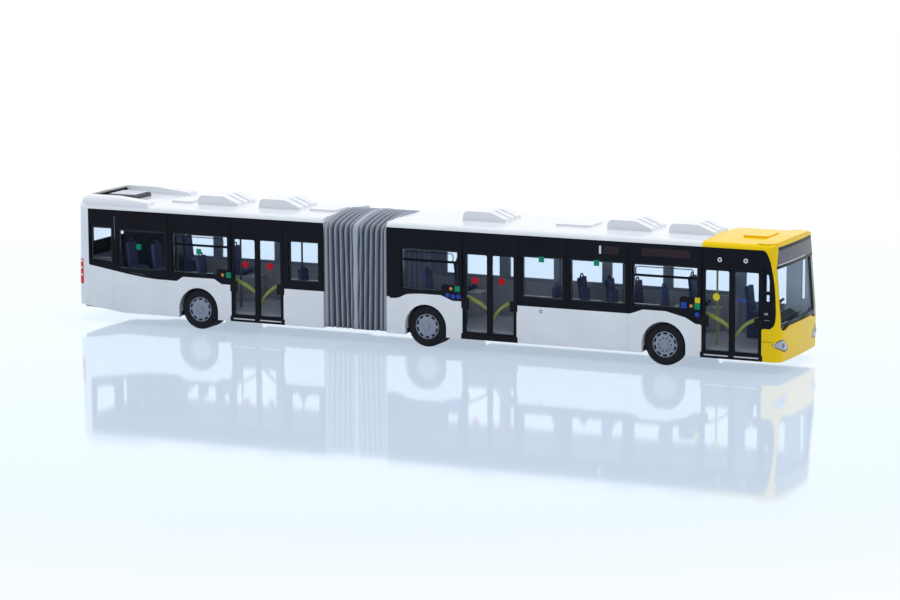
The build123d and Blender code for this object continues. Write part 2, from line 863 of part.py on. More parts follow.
axle_seat = 1.5
row_cushion = deck_top + cushion_rise
box_cushion = box_top + box_cushion_rise
front_seats = seats(
    pair(front_axle_x - axle_seat, single_seat_y, box_top, box_cushion)
    + seat_rows(front_axle_x - box_end, middle_doorway[1][0], row_cushion)
    + pair(middle_axle_x - axle_seat, twin_seat_y, box_top, box_cushion)
)
tail_rows = seat_rows(rear_axle_x - box_end, rear_x + tail_post, deck_top + tail_cushion_rise)
rear_seats = seats(
    pair(rear_open_x - 9.0, row_seat_y, deck_top, row_cushion)
    + pair(rear_axle_x - axle_seat, twin_seat_y, box_top, box_cushion)
    + [place for place in tail_rows if place[1] < 0 or place[0] - seat_lean > tower_front]
)
driver_seat = seats([(front_x - 16.5, driver_y, deck_top, deck_top + driver_cushion_rise)])

with BuildPart() as dashboard:
    with BuildSketch(Plane.XZ):
        with BuildLine():
            Polyline(
                (front_x - 8.0, deck_top),
                (front_x - 4.4, deck_top),
                (front_x - 4.0, 12.0),
                (front_x - 6.4, 13.2),
                (front_x - 8.6, 11.6),
                close=True,
            )
        make_face()
    extrude(amount=half_width - 5.05, both=True)

steering_radius = 2.4
steering_rim = 0.45
with BuildPart() as steering_wheel:
    tilt = Plane((front_x - 8.9, driver_y, 14.4), x_dir=(0, 1, 0), z_dir=(-0.62, 0, 0.78))
    with BuildSketch(tilt):
        Circle(steering_radius)
        Circle(steering_radius - steering_rim, mode=Mode.SUBTRACT)
        Rectangle(2 * steering_radius - steering_rim, steering_rim)
        Circle(1.3 * steering_rim)
    extrude(amount=steering_rim)
    with BuildSketch(tilt):
        Circle(0.9 * steering_rim)
    extrude(amount=-1.6)
    add(dashboard.part, mode=Mode.SUBTRACT)

# Handrails: places of the poles along the kerb side of the aisle
aisle_y = 9.05 - half_width
entry_y = 5.75 - half_width
pole_start = front_axle_x - 14.8
pole_end = middle_back - 2.75
front_poles = [
    (split_x + 2.2, entry_y),
    (pole_start, aisle_y),
    (share(pole_start, pole_end, 0.4), aisle_y),
    (pole_end, aisle_y),
]
rear_poles = [
    (rear_open_x - 11.0, aisle_y),
    (rear_doorway[0][0] - 1.8, aisle_y),
    (rear_axle_x - 11.5, aisle_y),
]


def handrails(poles, inner):
    """Eight-sided poles from floor to ceiling with a bar between them at head height."""
    with BuildPart() as rails:
        for x, y in poles:
            with BuildSketch(Plane.XY.offset(deck_top)):
                with Locations((x, y)):
                    RegularPolygon(rail_radius, 8)
            extrude(amount=ceiling_z + 1 - deck_top)
        for (x0, y0), (x1, y1) in zip(poles, poles[1:]):
            bar = Plane((x0, y0, roof_height - rail_drop), z_dir=(x1 - x0, y1 - y0, 0))
            with BuildSketch(bar):
                RegularPolygon(0.9 * rail_radius, 8)
            extrude(amount=hypot(x1 - x0, y1 - y0))
        add(inner, mode=Mode.INTERSECT)
    return rails.part


front_rails = handrails(front_poles, front_inner)
rear_rails = handrails(rear_poles, rear_inner)


def grab_handles(doorways):
    """Two bowed bars across each doorway, from the ledges of the posts to near the middle."""
    tall = handle_width
    with BuildPart() as bars:
        for doorway in doorways:
            x0, x1 = doorway[0][0] + 0.1, doorway[1][0] - 0.1
            middle = (x0 + x1) / 2
            bows = [
                # end at the post, middle of the bow, end at the meeting of the leaves
                ((x0, 13.9), (share(x0, middle, 0.5), 12.7), (middle, 9.8)),
                ((x1, 13.7), (share(x1, middle, 0.5), 12.2), (middle, 6.5)),
            ]
            with BuildSketch(Plane.XZ.offset(half_width - wall - handle_thickness)):
                for (xa, za), (xb, zb), (xc, zc) in bows:
                    with BuildLine():
                        ThreePointArc((xa, za), (xb, zb), (xc, zc))
                        Line((xc, zc), (xc, zc + tall))
                        ThreePointArc((xc, zc + tall), (xb, zb + tall), (xa, za + tall))
                        Line((xa, za + tall), (xa, za))
                    make_face()
            extrude(amount=handle_thickness)
    return bars.part


front_grab_handles = grab_handles(front_doorways)
rear_grab_handles = grab_handles([rear_doorway])

# Roof equipment
seat_on_roof = roof_height - 0.5

with BuildPart() as roof_block:
    with BuildSketch(Plane.YZ.offset(rear_x)):
        with BuildLine():
            Polyline(
                (-half_width, roof_height),
                (-half_width, skirt_height),
                (half_width, skirt_height),
                (half_width, roof_height),
            )
            ThreePointArc((half_width, roof_height), (0, roof_top), (-half_width, roof_height))
        make_face()
    extrude(amount=body_length)


def pod(back_x):
    """Roof unit: rounded back, flat top, long sloped front parted by two grooves."""
    top = roof_top + pod_height
    heel = pod_heel_radius
    x0, x1 = back_x, back_x + pod_length
    slope = x1 - pod_nose_length
    with BuildPart() as unit:
        with BuildSketch(Plane.XZ):
            with BuildLine():
                Line((x0, seat_on_roof), (x0, top - heel))
                ThreePointArc((x0, top - heel), (x0 + 0.3 * heel, top - 0.3 * heel), (x0 + heel, top))
                Polyline(
                    (x0 + heel, top),
                    (slope, top),
                    (x1 - 0.6, roof_top + 0.7),
                    (x1, seat_on_roof),
                    (x0, seat_on_roof),
                )
            make_face()
        extrude(amount=pod_width / 2, both=True)
        for y in (-pod_width / 6, pod_width / 6):
            with BuildSketch(Plane.XZ.offset(-y)):
                with BuildLine():
                    Polyline(
                        (slope - 1.0, top + 0.2),
                        (slope - 0.4, top - 0.7),
                        (x1 - 1.2, roof_top + 0.35),
                        (x1 + 0.2, roof_top + 0.35),
                        (x1 + 0.2, top + 0.2),
                        close=True,
                    )
                make_face()
            extrude(amount=pod_groove / 2, both=True, mode=Mode.SUBTRACT)
        add(roof_block.part, mode=Mode.SUBTRACT)
    return unit.part


def hatch(x0, x1):
    """Low rounded cover lying on the roof."""
    with BuildPart() as cover:
        with BuildSketch(Plane.XY.offset(seat_on_roof)):
            with Locations(((x0 + x1) / 2, 0)):
                RectangleRounded(x1 - x0, hatch_width, hatch_corner_share * (x1 - x0))
        extrude(amount=roof_top + hatch_height - seat_on_roof)
        add(roof_block.part, mode=Mode.SUBTRACT)
    return cover.part


front_pod_backs = [front_axle_x - 2.4, front_axle_x - 19.7, middle_axle_x + 6.6]
rear_pod_backs = [rear_open_x - 24.4, rear_axle_x - 5.05]

with BuildPart() as front_pods:
    for back_x in front_pod_backs:
        add(pod(back_x))

with BuildPart() as rear_pods:
    for back_x in rear_pod_backs:
        add(pod(back_x))

cowl_outer = half_width - cowl_inset
cowl_inner = cowl_outer - cowl_rim_width
cowl_back = rear_x + cowl_setback
cowl_front = cowl_back + cowl_length
cowl_top = roof_top + cowl_height
box_front = cowl_back + cowl_box_lead + cowl_box_size

roof_gap = (front_pod_backs[2] + pod_length, front_pod_backs[1])
front_hatch = hatch(share(*roof_gap, 0.463), share(*roof_gap, 0.825))
nose_hatch = hatch(front_x - 14.6, front_x - dome_length)
tail_gap = (box_front, rear_pod_backs[1])

with BuildPart() as rear_hatches:
    add(hatch(rear_open_x - 9.6, rear_open_x - 1.2))
    add(hatch(share(*tail_gap, 0.567), share(*tail_gap, 0.888)))

# Cowl round the tail end of the roof: rounded shoulder, open pocket and a falling front
cowl_foot = roof_height - roof_edge_radius
cowl_side_end = cowl_back + tail_crown

with BuildPart() as rear_cowl:
    with BuildSketch(Plane.XY.offset(cowl_foot)) as cowl_plan:
        with BuildLine():
            Polyline(
                (cowl_side_end, -cowl_outer),
                (cowl_front, -cowl_outer),
                (cowl_front, cowl_outer),
                (cowl_side_end, cowl_outer),
            )
            ThreePointArc((cowl_side_end, cowl_outer), (cowl_back, 0), (cowl_side_end, -cowl_outer))
        make_face()
        fillet(cowl_plan.vertices().group_by(Axis.X)[0], cowl_corner)
    extrude(amount=cowl_top - cowl_foot)
    shoulder = rear_cowl.faces().sort_by(Axis.Z)[-1].edges().sort_by(Axis.X)[:-1]
    fillet(shoulder, cowl_shoulder)
    with BuildSketch(Plane.XY.offset(cowl_foot)):
        with Locations(((cowl_back + cowl_front) / 2 + cowl_back_width, 0)):
            Rectangle(cowl_length, 2 * cowl_inner)
    extrude(amount=cowl_top + 1 - cowl_foot, mode=Mode.SUBTRACT)
    with BuildSketch(Plane.XZ):
        with BuildLine():
            Polyline(
                (cowl_front - cowl_slope, cowl_top),
                (cowl_front - 2 * cowl_tip_height, roof_top + cowl_tip_height),
                (cowl_front, cowl_foot),
                (cowl_front + 1, cowl_foot),
                (cowl_front + 1, cowl_top + 1),
                (cowl_front - cowl_slope, cowl_top + 1),
                close=True,
            )
        make_face()
    extrude(amount=body_width, both=True, mode=Mode.SUBTRACT)
    add(rear_outer, mode=Mode.SUBTRACT)

with BuildPart() as cowl_box:
    with BuildSketch(Plane.XY.offset(seat_on_roof)):
        with Locations((cowl_back + cowl_box_lead + cowl_box_size / 2, 0)):
            Rectangle(cowl_box_size, cowl_box_size)
    extrude(amount=cowl_top - roof_height)
    chamfer(cowl_box.faces().sort_by(Axis.Z)[-1].edges(), cowl_edge)
    add(roof_block.part, mode=Mode.SUBTRACT)

with BuildPart() as cowl_grille:
    with BuildSketch(Plane.XY.offset(seat_on_roof)):
        with Locations((cowl_back + cowl_back_width + cowl_grille_thickness / 2, 0)):
            Rectangle(cowl_grille_thickness, 2 * cowl_inner - 1.0)
    extrude(amount=cowl_top - roof_height)
    add(roof_block.part, mode=Mode.SUBTRACT)

# Bellows
bellows_half_width = half_width - bellows_inset
bellows_eave = roof_height - bellows_drop
bellows_bottom = skirt_height + bellows_lift
fold_span = (bellows_length - 2 * end_frame_width - hoop_width) / 2
fold_pitch = fold_span / folds_per_half


def bellows_outline(x, drawn_in, foot):
    """Section of the bellows at x: upright sides, cut eaves corners and a crowned top."""
    half = bellows_half_width - drawn_in
    eave = bellows_eave - drawn_in
    corner = bellows_corner_radius
    crown = eave + bellows_crown
    right = [
        (half, foot),
        (half, eave - corner),
        (half - 0.3 * corner, eave - 0.25 * corner),
        (half - corner, share(eave, crown, 0.3)),
        (0.5 * half, share(eave, crown, 0.75)),
    ]
    left = [(-y, z) for y, z in reversed(right)]
    with BuildSketch(Plane.YZ.offset(x)) as section:
        with BuildLine():
            Polyline(*right, (0, crown), *left, close=True)
        make_face()
    return section.sketch


with BuildPart() as fold:
    for x, drawn_in in (
        (-fold_pitch / 2, bellows_fold_depth),
        (0, bellows_inset / 2),
        (fold_pitch / 2, bellows_fold_depth),
    ):
        add(bellows_outline(x, drawn_in, bellows_bottom))
    loft(ruled=True)

with BuildPart() as bellows:
    for start_x, width, drawn_in in (
        (front_open_x - end_frame_width, end_frame_width, bellows_frame_inset),
        (pivot_x - hoop_width / 2, hoop_width, 0.0),
        (rear_open_x, end_frame_width, bellows_frame_inset),
    ):
        add(bellows_outline(start_x, drawn_in, bellows_bottom))
        extrude(amount=width, dir=(1, 0, 0))
    for start_x in (rear_open_x + end_frame_width, pivot_x + hoop_width / 2):
        for number in range(folds_per_half):
            add(fold.part.moved(Location((start_x + (number + 0.5) * fold_pitch, 0, 0))))
    add(bellows_outline(rear_open_x - 1, bellows_fold_depth + bellows_wall, bellows_bottom - 1))
    extrude(amount=bellows_length + 2, dir=(1, 0, 0), mode=Mode.SUBTRACT)

# Wheel sets: axle pin, tyres and rims


def turned(profile):
    """Ring turned about the Y axis from a profile of distances along and from the axle."""
    with BuildPart() as ring:
        with BuildSketch(Plane.YZ):
            with BuildLine():
                Polyline(*profile, close=True)
            make_face()
        revolve(axis=Axis.Y)
    return ring.part


def tyre_profile(face, side):
    """Flat tread with a bevelled shoulder at the outer edge."""
    inside = face - tyre_width
    return [
        (side * face, rim_radius),
        (side * face, tyre_radius - tyre_shoulder),
        (side * (face - tyre_shoulder), tyre_radius),
        (side * inside, tyre_radius),
        (side * inside, rim_radius),
    ]


def rim_profile(face, side):
    """Lip, dished disc and raised hub."""
    front = face - rim_recess
    disc = front - rim_dish
    inside = face - tyre_width
    return [
        (side * front, rim_radius),
        (side * front, rim_radius - rim_lip),
        (side * disc, rim_radius - 2 * rim_lip),
        (side * disc, hub_radius),
        (side * front, hub_radius),
        (side * front, axle_radius),
        (side * inside, axle_radius),
        (side * inside, rim_radius),
    ]


outer_face = [wheel_face_y]
twin_faces = [wheel_face_y, wheel_face_y - tyre_width - twin_gap]
for name, axle_x, faces in (
    ("front", front_axle_x, outer_face),
    ("middle", middle_axle_x, twin_faces),
    ("rear", rear_axle_x, twin_faces),
):
    place = Location((axle_x, 0, tyre_radius))
    with BuildPart() as axle_pin:
        with BuildSketch(Plane.XZ):
            Circle(axle_radius)
        extrude(amount=wheel_face_y - bearing_clearance, both=True)
    with BuildPart() as tyres:
        for face in faces:
            for side in (RIGHT, LEFT):
                add(turned(tyre_profile(face, side)))
    with BuildPart() as rims:
        for face in faces:
            for side in (RIGHT, LEFT):
                add(turned(rim_profile(face, side)))
    write(axle_pin.part.moved(place), f"{name}_axle_pin")
    write(tyres.part.moved(place), f"{name}_tyres")
    write(rims.part.moved(place), f"{name}_rims")

for piece, name in (
    (front_body.part, "front_body"),
    (nose.part, "nose"),
    (windscreen_piece, "windscreen"),
    (display_piece, "destination_display"),
    (headlamp_piece, "headlamps"),
    (front_band_right, "front_band_right"),
    (front_band_left, "front_band_left"),
    (front_panes_right, "front_panes_right"),
    (front_panes_left, "front_panes_left"),
    (front_door, "front_door"),
    (front_door_panes, "front_door_panes"),
    (middle_door, "middle_door"),
    (middle_door_panes, "middle_door_panes"),
    (front_chassis.part, "front_chassis"),
    (front_floor, "front_floor"),
    (front_seats, "front_seats"),
    (driver_seat, "driver_seat"),
    (dashboard.part, "dashboard"),
    (steering_wheel.part, "steering_wheel"),
    (front_rails, "front_rails"),
    (front_grab_handles, "front_grab_handles"),
    (front_pods.part, "front_pods"),
    (front_hatch, "front_hatch"),
    (nose_hatch, "nose_hatch"),
    (bellows.part, "bellows"),
    (rear_body.part, "rear_body"),
    (rear_band_right, "rear_band_right"),
    (rear_band_left, "rear_band_left"),
    (rear_panes_right, "rear_panes_right"),
    (rear_panes_left, "rear_panes_left"),
    (rear_door, "rear_door"),
    (rear_door_panes, "rear_door_panes"),
    (rear_window_piece, "rear_window"),
    (engine_grille_piece, "engine_grille"),
    (tail_lamp_piece, "tail_lamps"),
    (rear_chassis.part, "rear_chassis"),
    (rear_floor, "rear_floor"),
    (engine_tower.part, "engine_tower"),
    (rear_seats, "rear_seats"),
    (rear_rails, "rear_rails"),
    (rear_grab_handles, "rear_grab_handles"),
    (rear_pods.part, "rear_pods"),
    (rear_hatches.part, "rear_hatches"),
    (rear_cowl.part, "rear_cowl"),
    (cowl_box.part, "cowl_box"),
    (cowl_grille.part, "cowl_grille"),
):
    write(piece, name)
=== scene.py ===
"""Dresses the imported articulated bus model: materials, bellows, wheels, trim, stickers and studio.

Sizes are millimetres in the frame of the solids, X forward, Y left and Z up. Those of the studio are metres.
"""

from functools import partial, reduce
from math import asin, cos, hypot, pi, radians, sin, sqrt, tau

import bmesh
import bpy
from mathutils import Matrix, Vector


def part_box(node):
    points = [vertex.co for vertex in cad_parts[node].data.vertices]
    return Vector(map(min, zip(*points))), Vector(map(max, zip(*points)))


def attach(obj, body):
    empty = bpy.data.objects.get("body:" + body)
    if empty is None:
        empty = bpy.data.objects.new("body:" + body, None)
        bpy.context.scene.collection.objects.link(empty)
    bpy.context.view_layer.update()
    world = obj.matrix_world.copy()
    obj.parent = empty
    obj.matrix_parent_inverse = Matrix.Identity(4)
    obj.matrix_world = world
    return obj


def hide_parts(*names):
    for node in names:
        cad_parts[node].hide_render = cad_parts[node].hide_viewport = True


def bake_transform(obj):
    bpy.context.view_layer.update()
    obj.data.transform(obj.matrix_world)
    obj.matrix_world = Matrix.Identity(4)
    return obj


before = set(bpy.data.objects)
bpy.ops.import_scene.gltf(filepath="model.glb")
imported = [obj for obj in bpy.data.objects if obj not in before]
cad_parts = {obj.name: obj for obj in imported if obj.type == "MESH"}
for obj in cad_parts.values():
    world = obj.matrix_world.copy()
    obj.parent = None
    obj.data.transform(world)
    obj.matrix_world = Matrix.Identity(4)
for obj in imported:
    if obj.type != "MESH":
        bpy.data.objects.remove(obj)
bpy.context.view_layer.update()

MM = 0.001
RIGHT, LEFT = -1, 1
FRONT, REAR = "front_section", "rear_section"


def box_mm(node):
    """Lowest and highest corner of a solid in millimetres."""
    low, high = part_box(node)
    return [c / MM for c in low], [c / MM for c in high]


# Places read from the solids
side_y = box_mm("rear_body")[1][1]
nose_x = box_mm("nose")[1][0]
tail_x = box_mm("rear_body")[0][0]
front_open_x = box_mm("front_body")[0][0]
rear_open_x = box_mm("rear_body")[1][0]
roof_z = box_mm("front_body")[1][2]
door_y = -box_mm("front_door")[0][1]
axle_x = {n: sum(c[0] for c in box_mm(f"{n}_tyres")) / 2 for n in ("front", "middle", "rear")}
tyre_radius = box_mm("front_tyres")[1][2] / 2
wheel_face_y = box_mm("front_tyres")[1][1]
doors = {f"{n}_door": tuple(c[0] for c in box_mm(f"{n}_door")) for n in axle_x}
sides = ((RIGHT, "right"), (LEFT, "left"))

# Faces of the two ends, as the solids have them
ends = {
    # middle of the face, outward, crown, lean, height it leans from, corner radius
    "nose": (nose_x, 1, 0.55, 1.8, 13.8, 2.2),
    "tail": (tail_x, -1, 1.2, 0.5, 12.0, 2.6),
}
lean_top = roof_z + 1

# Zones of the shells coloured apart: inner faces in slate as painted shade, pockets behind the glass in near
# black as painted shade, and a pale cab and ceiling
inner_side_limit, inner_end_limit = -4.0, -50.0
inner_end_top = 32.4
ceiling_low, ceiling_high, ceiling_tilt = 20.0, 40.0, -0.5
pocket_low, pocket_high = 12.9, 28.0
pocket_inner_y, pocket_outer_y = 13.2, side_y - 0.35
pocket_reach = 101.2
glass_behind, glass_front = 2.2, 0.3
glass_frames = {
    # half width, foot and head of the pocket
    "nose": (12.9, 10.9, 32.6),
    "tail": (11.6, 17.2, 29.2),
}
pale_above, pale_ahead = 30.5, 95.0

# Materials
patch_scale, gloss_scale, grain_scale = 120.0, 480.0, 2600.0
grain_depth, weave_depth = 0.02, 0.03
coat_roughness, uneven = 0.08, 0.15
noise_detail, noise_low, noise_high = 3.0, 0.3, 0.7


def added(owner, kind):
    """New node in the tree of another node or socket."""
    return owner.id_data.nodes.new(kind)


def wire(source, node, label):
    """Links a socket to an input of a node."""
    source.id_data.links.new(source, node.inputs[label])


def shader(name):
    """New material with its principled shader and coordinates."""
    mat = bpy.data.materials.new(name)
    mat.use_nodes = True
    bsdf = mat.node_tree.nodes["Principled BSDF"]
    return mat, bsdf, added(bsdf, "ShaderNodeTexCoord")


def set_inputs(node, values):
    for label, value in values.items():
        node.inputs[label].default_value = value


def noise(coords, scale):
    node = added(coords, "ShaderNodeTexNoise")
    set_inputs(node, {"Scale": scale, "Detail": noise_detail})
    wire(coords.outputs["Object"], node, "Vector")
    return node


def ranged(source, low, high, source_low=noise_low, source_high=noise_high):
    """Maps a socket, by default a noise with its usual spread, to a range of values."""
    node = added(source, "ShaderNodeMapRange")
    set_inputs(node, {"From Min": source_low, "From Max": source_high, "To Min": low, "To Max": high})
    wire(source, node, "Value")
    return node.outputs["Result"]


def raised(bsdf, texture, strength, depth):
    """Fine relief on a surface from a noise texture."""
    relief = added(bsdf, "ShaderNodeBump")
    set_inputs(relief, {"Strength": strength, "Distance": depth * MM})
    wire(texture.outputs["Fac"], relief, "Height")
    wire(relief.outputs["Normal"], bsdf, "Normal")


def mixed(factor, first, second):
    """Mixes two colours, each plain or a socket, by a factor."""
    node = added(factor, "ShaderNodeMix")
    node.data_type = "RGBA"
    wire(factor, node, "Factor")
    for label, value in (("A", first), ("B", second)):
        if isinstance(value, (list, tuple)):
            node.inputs[label].default_value = (*value, 1)
        else:
            wire(value, node, label)
    return node.outputs["Result"]


def blended(factor, first, second, output):
    """Shows one shader over another by a factor, plain or a socket."""
    mix = added(output, "ShaderNodeMixShader")
    if isinstance(factor, float):
        mix.inputs["Fac"].default_value = factor
    else:
        wire(factor, mix, "Fac")
    wire(first.outputs[0], mix, 1)
    wire(second.outputs[0], mix, 2)
    wire(mix.outputs[0], output, "Surface")


def shaded(colour, factor):
    return [min(c * factor, 1.0) for c in colour]


def maths(operation, *values):
    """One step of arithmetic on sockets and plain numbers."""
    owner = next(value for value in values if not isinstance(value, float))
    node = added(owner, "ShaderNodeMath")
    node.operation = operation
    for number, value in enumerate(values):
        if isinstance(value, float):
            node.inputs[number].default_value = value
        else:
            wire(value, node, number)
    return node.outputs[0]


def both(*flags):
    """1 where every flag is 1."""
    return reduce(partial(maths, "MULTIPLY"), flags)


def either(*flags):
    """1 where any flag is 1."""
    return reduce(partial(maths, "MAXIMUM"), flags)


def seen_rays(owner):
    """1 for rays that show a surface in the picture, straight or by way of gloss and glass."""
    rays = added(owner, "ShaderNodeLightPath")
    kinds = ("Is Camera Ray", "Is Glossy Ray", "Is Transmission Ray")
    return either(*(rays.outputs[kind] for kind in kinds))


def within(value, low, high):
    """1 where a value in metres lies between two millimetre limits."""
    return both(maths("GREATER_THAN", value, low * MM), maths("LESS_THAN", value, high * MM))


def split(coords, source):
    """The three parts of a place or a direction."""
    node = added(coords, "ShaderNodeSeparateXYZ")
    wire(coords.outputs[source], node, 0)
    return list(node.outputs)


def shell_faces(coords):
    """Flags on a body shell: inward faces, which take painted shade, pockets behind the glass, which take a
    near-black painted shade, and pale parts.
    """
    x, y, z = split(coords, "Object")
    turned_x, turned_y, turned_z = split(coords, "Normal")
    across = maths("MULTIPLY", y, turned_y)
    along = maths("MULTIPLY", x, turned_x)
    half = maths("ABSOLUTE", y)
    inner_side = maths("LESS_THAN", across, inner_side_limit * MM)
    inner_end = maths("LESS_THAN", along, inner_end_limit * MM)
    inner_end = both(inner_end, within(z, 0.0, inner_end_top))
    ceiling = maths("LESS_THAN", turned_z, ceiling_tilt)
    ceiling = both(ceiling, within(z, ceiling_low, ceiling_high))
    inside = either(inner_side, inner_end, ceiling)
    # Pockets behind the glass, which are painted near black as painted shade
    pocket_shade_mask = both(
        within(half, pocket_inner_y, pocket_outer_y),
        within(maths("ABSOLUTE", x), 0.0, pocket_reach),
        within(z, pocket_low, pocket_high),
        maths("SUBTRACT", 1.0, inner_side),
    )
    for end, (widest, low, high) in glass_frames.items():
        tip, outward, crown, lean, lean_z, _ = ends[end]
        climb = maths("MAXIMUM", maths("SUBTRACT", z, lean_z * MM), 0.0)
        leaned = maths("MULTIPLY", climb, lean / (lean_top - lean_z))
        bowed = maths("MULTIPLY", maths("MULTIPLY", y, y), crown / side_y**2 / MM)
        reach = maths("MULTIPLY", x, float(outward))
        reach = maths("ADD", reach, maths("ADD", leaned, bowed))
        framed = both(
            within(reach, abs(tip) - glass_behind, abs(tip) - glass_front),
            within(half, -1.0, widest),
            within(z, low, high),
        )
        pocket_shade_mask = either(pocket_shade_mask, framed)
    overhead = maths("GREATER_THAN", z, pale_above * MM)
    ahead = maths("GREATER_THAN", x, pale_ahead * MM)
    return inside, pocket_shade_mask, either(overhead, ahead)


def moulded(
    name, colour, roughness, specular=0.5, mottle=0.03, bump=0.05, coat=0.0, metallic=0.0, inside=None,
    zone=None,
):
    """Moulded or painted plastic: soft patches of tone, uneven gloss and a fine moulded grain."""
    mat, bsdf, coords = shader(name)
    patches = noise(coords, patch_scale)
    tone = ranged(patches.outputs["Fac"], 0.0, 1.0)
    colours = mixed(tone, shaded(colour, 1 - mottle), shaded(colour, 1 + mottle))
    # A second colour beyond a limit: two-tone rails in the cab, and painted light on the upward faces of the
    # roof box
    if zone:
        source, axis, limit, other = zone
        beyond = maths("GREATER_THAN", split(coords, source)["XYZ".index(axis)], limit)
        colours = mixed(beyond, colours, other)
    # Painted shade inside the shell: slate on the inner faces and near black in the pockets behind the glass;
    # the ceiling and the cab stay pale
    if inside:
        shaded_walls, pale_walls, pocket_shade = inside
        looking_in, pocket_shade_mask, pale = shell_faces(coords)
        colours = mixed(looking_in, colours, mixed(pale, shaded_walls, pale_walls))
        colours = mixed(pocket_shade_mask, colours, pocket_shade)
    wire(colours, bsdf, "Base Color")
    gloss = noise(coords, gloss_scale)
    spread = ranged(gloss.outputs["Fac"], roughness * (1 - uneven), roughness * (1 + uneven))
    wire(spread, bsdf, "Roughness")
    skin = noise(coords, grain_scale)
    raised(bsdf, skin, bump, grain_depth)
    set_inputs(bsdf, {"Specular IOR Level": specular, "Metallic": metallic})
    set_inputs(bsdf, {"Coat Weight": coat, "Coat Roughness": coat_roughness})
    return mat


def glazed(name, tint, gloss, reflection):
    """Clear moulded pane: light passes tinted, with a faint uneven reflection on top."""
    mat, bsdf, coords = shader(name)
    clouds = noise(coords, 90.0)
    tone = ranged(clouds.outputs["Fac"], 0.0, 1.0)
    through = added(bsdf, "ShaderNodeBsdfTransparent")
    wire(mixed(tone, shaded(tint, 0.985), shaded(tint, 1.01)), through, "Color")
    wire(mixed(tone, shaded(gloss, 0.9), shaded(gloss, 1.1)), bsdf, "Base Color")
    wire(ranged(clouds.outputs["Fac"], 0.03, 0.07), bsdf, "Roughness")
    bsdf.inputs["Specular IOR Level"].default_value = 0.5
    blended(reflection, through, bsdf, mat.node_tree.nodes["Material Output"])
    return mat


def woven(name, colour, fleck):
    """Seat cover: a fine weave with scattered lighter flecks."""
    mat, bsdf, coords = shader(name)
    cells = added(bsdf, "ShaderNodeTexVoronoi")
    cells.inputs["Scale"].default_value = 1500.0
    wire(coords.outputs["Object"], cells, "Vector")
    spots = ranged(cells.outputs["Distance"], 1.0, 0.0, source_low=0.12, source_high=0.2)
    wire(mixed(spots, colour, fleck), bsdf, "Base Color")
    threads = noise(coords, 6000.0)
    wire(ranged(threads.outputs["Fac"], 0.6, 0.8), bsdf, "Roughness")
    raised(bsdf, threads, 0.3, weave_depth)
    bsdf.inputs["Specular IOR Level"].default_value = 0.2
    return mat


def pleated(name, lit_ridge, shaded_valley):
    """Bellows skin: painted shade in the valleys and a painted highlight on the ridges, by the shade stored
    on the mesh from the depth of each fold.
    """
    mat, bsdf, coords = shader(name)
    depth = added(bsdf, "ShaderNodeAttribute")
    depth.attribute_name = "fold_depth"
    wire(mixed(depth.outputs["Fac"], lit_ridge, shaded_valley), bsdf, "Base Color")
    skin = noise(coords, 1800.0)
    wire(ranged(skin.outputs["Fac"], 0.5, 0.68), bsdf, "Roughness")
    raised(bsdf, skin, 0.2, weave_depth)
    bsdf.inputs["Specular IOR Level"].default_value = 0.3
    return mat


# Inside the shells: slate for the inner faces as painted shade, then a pale ceiling and cab, then near black
# for the pockets behind the glass as painted shade
# Near black for the black print, and also for the painted shade in the pockets behind the glass
print_and_shade_black = (0.006, 0.007, 0.012)
cabin_shade = ((0.36, 0.39, 0.46), (0.9, 0.92, 0.95), print_and_shade_black)
white = moulded("white_paint", (0.86, 0.87, 0.89), 0.22, specular=0.4, coat=0.45, inside=cabin_shade)
yellow = moulded("yellow_paint", (0.98, 0.64, 0.0), 0.26, specular=0.06, bump=0.02, coat=0.24, inside=cabin_shade)
black = moulded("black_print", print_and_shade_black, 0.16, specular=0.08, mottle=0.2)
black_matt = moulded("black_matt", (0.008, 0.008, 0.012), 0.55, specular=0.12, mottle=0.2, bump=0.15)
seam_black = moulded("band_seam", (0.002, 0.002, 0.004), 0.4, specular=0.05, mottle=0.2)
seam_grey = moulded("body_seam", (0.7, 0.72, 0.76), 0.4, specular=0.2)
clear = glazed("clear_pane", (0.93, 0.962, 0.99), (0.06, 0.1, 0.14), 0.03)
chassis_black = moulded("floor_plate", (0.014, 0.015, 0.019), 0.5, specular=0.2, bump=0.2)
tower_black = moulded("engine_tower", (0.012, 0.013, 0.022), 0.45, specular=0.2, bump=0.15)
deck_grey = moulded("deck_grey", (0.52, 0.49, 0.5), 0.55, specular=0.3, bump=0.2)
bow_yellow = (0.36, 0.38, 0.04)
cab_x = 80.0
rail_grey = moulded("rail_grey", (0.1, 0.11, 0.12), 0.35, zone=("Object", "X", cab_x * MM, bow_yellow))
rail_yellow = moulded("rail_yellow", bow_yellow, 0.35, mottle=0.06)
rubber = moulded("tyre_rubber", (0.012, 0.013, 0.018), 0.62, specular=0.15, mottle=0.15, bump=0.3)
rim_grey = moulded("rim_grey", (0.27, 0.3, 0.38), 0.36, metallic=0.2, mottle=0.05)
# Near black for the rim slots, as painted shade in them, and for the front nuts
slot_shade_and_nuts = moulded("rim_slots", (0.008, 0.009, 0.014), 0.6, specular=0.1)
lamp_glass = moulded("lamp_glass", (0.42, 0.44, 0.48), 0.12, coat=0.5, mottle=0.1)
lamp_dark = moulded("lamp_dark", (0.05, 0.052, 0.065), 0.25, mottle=0.1)
lamp_red = moulded("lamp_red", (0.82, 0.02, 0.014), 0.2, specular=0.2)
roof_grey = moulded("roof_grey", (0.28, 0.29, 0.33), 0.45)
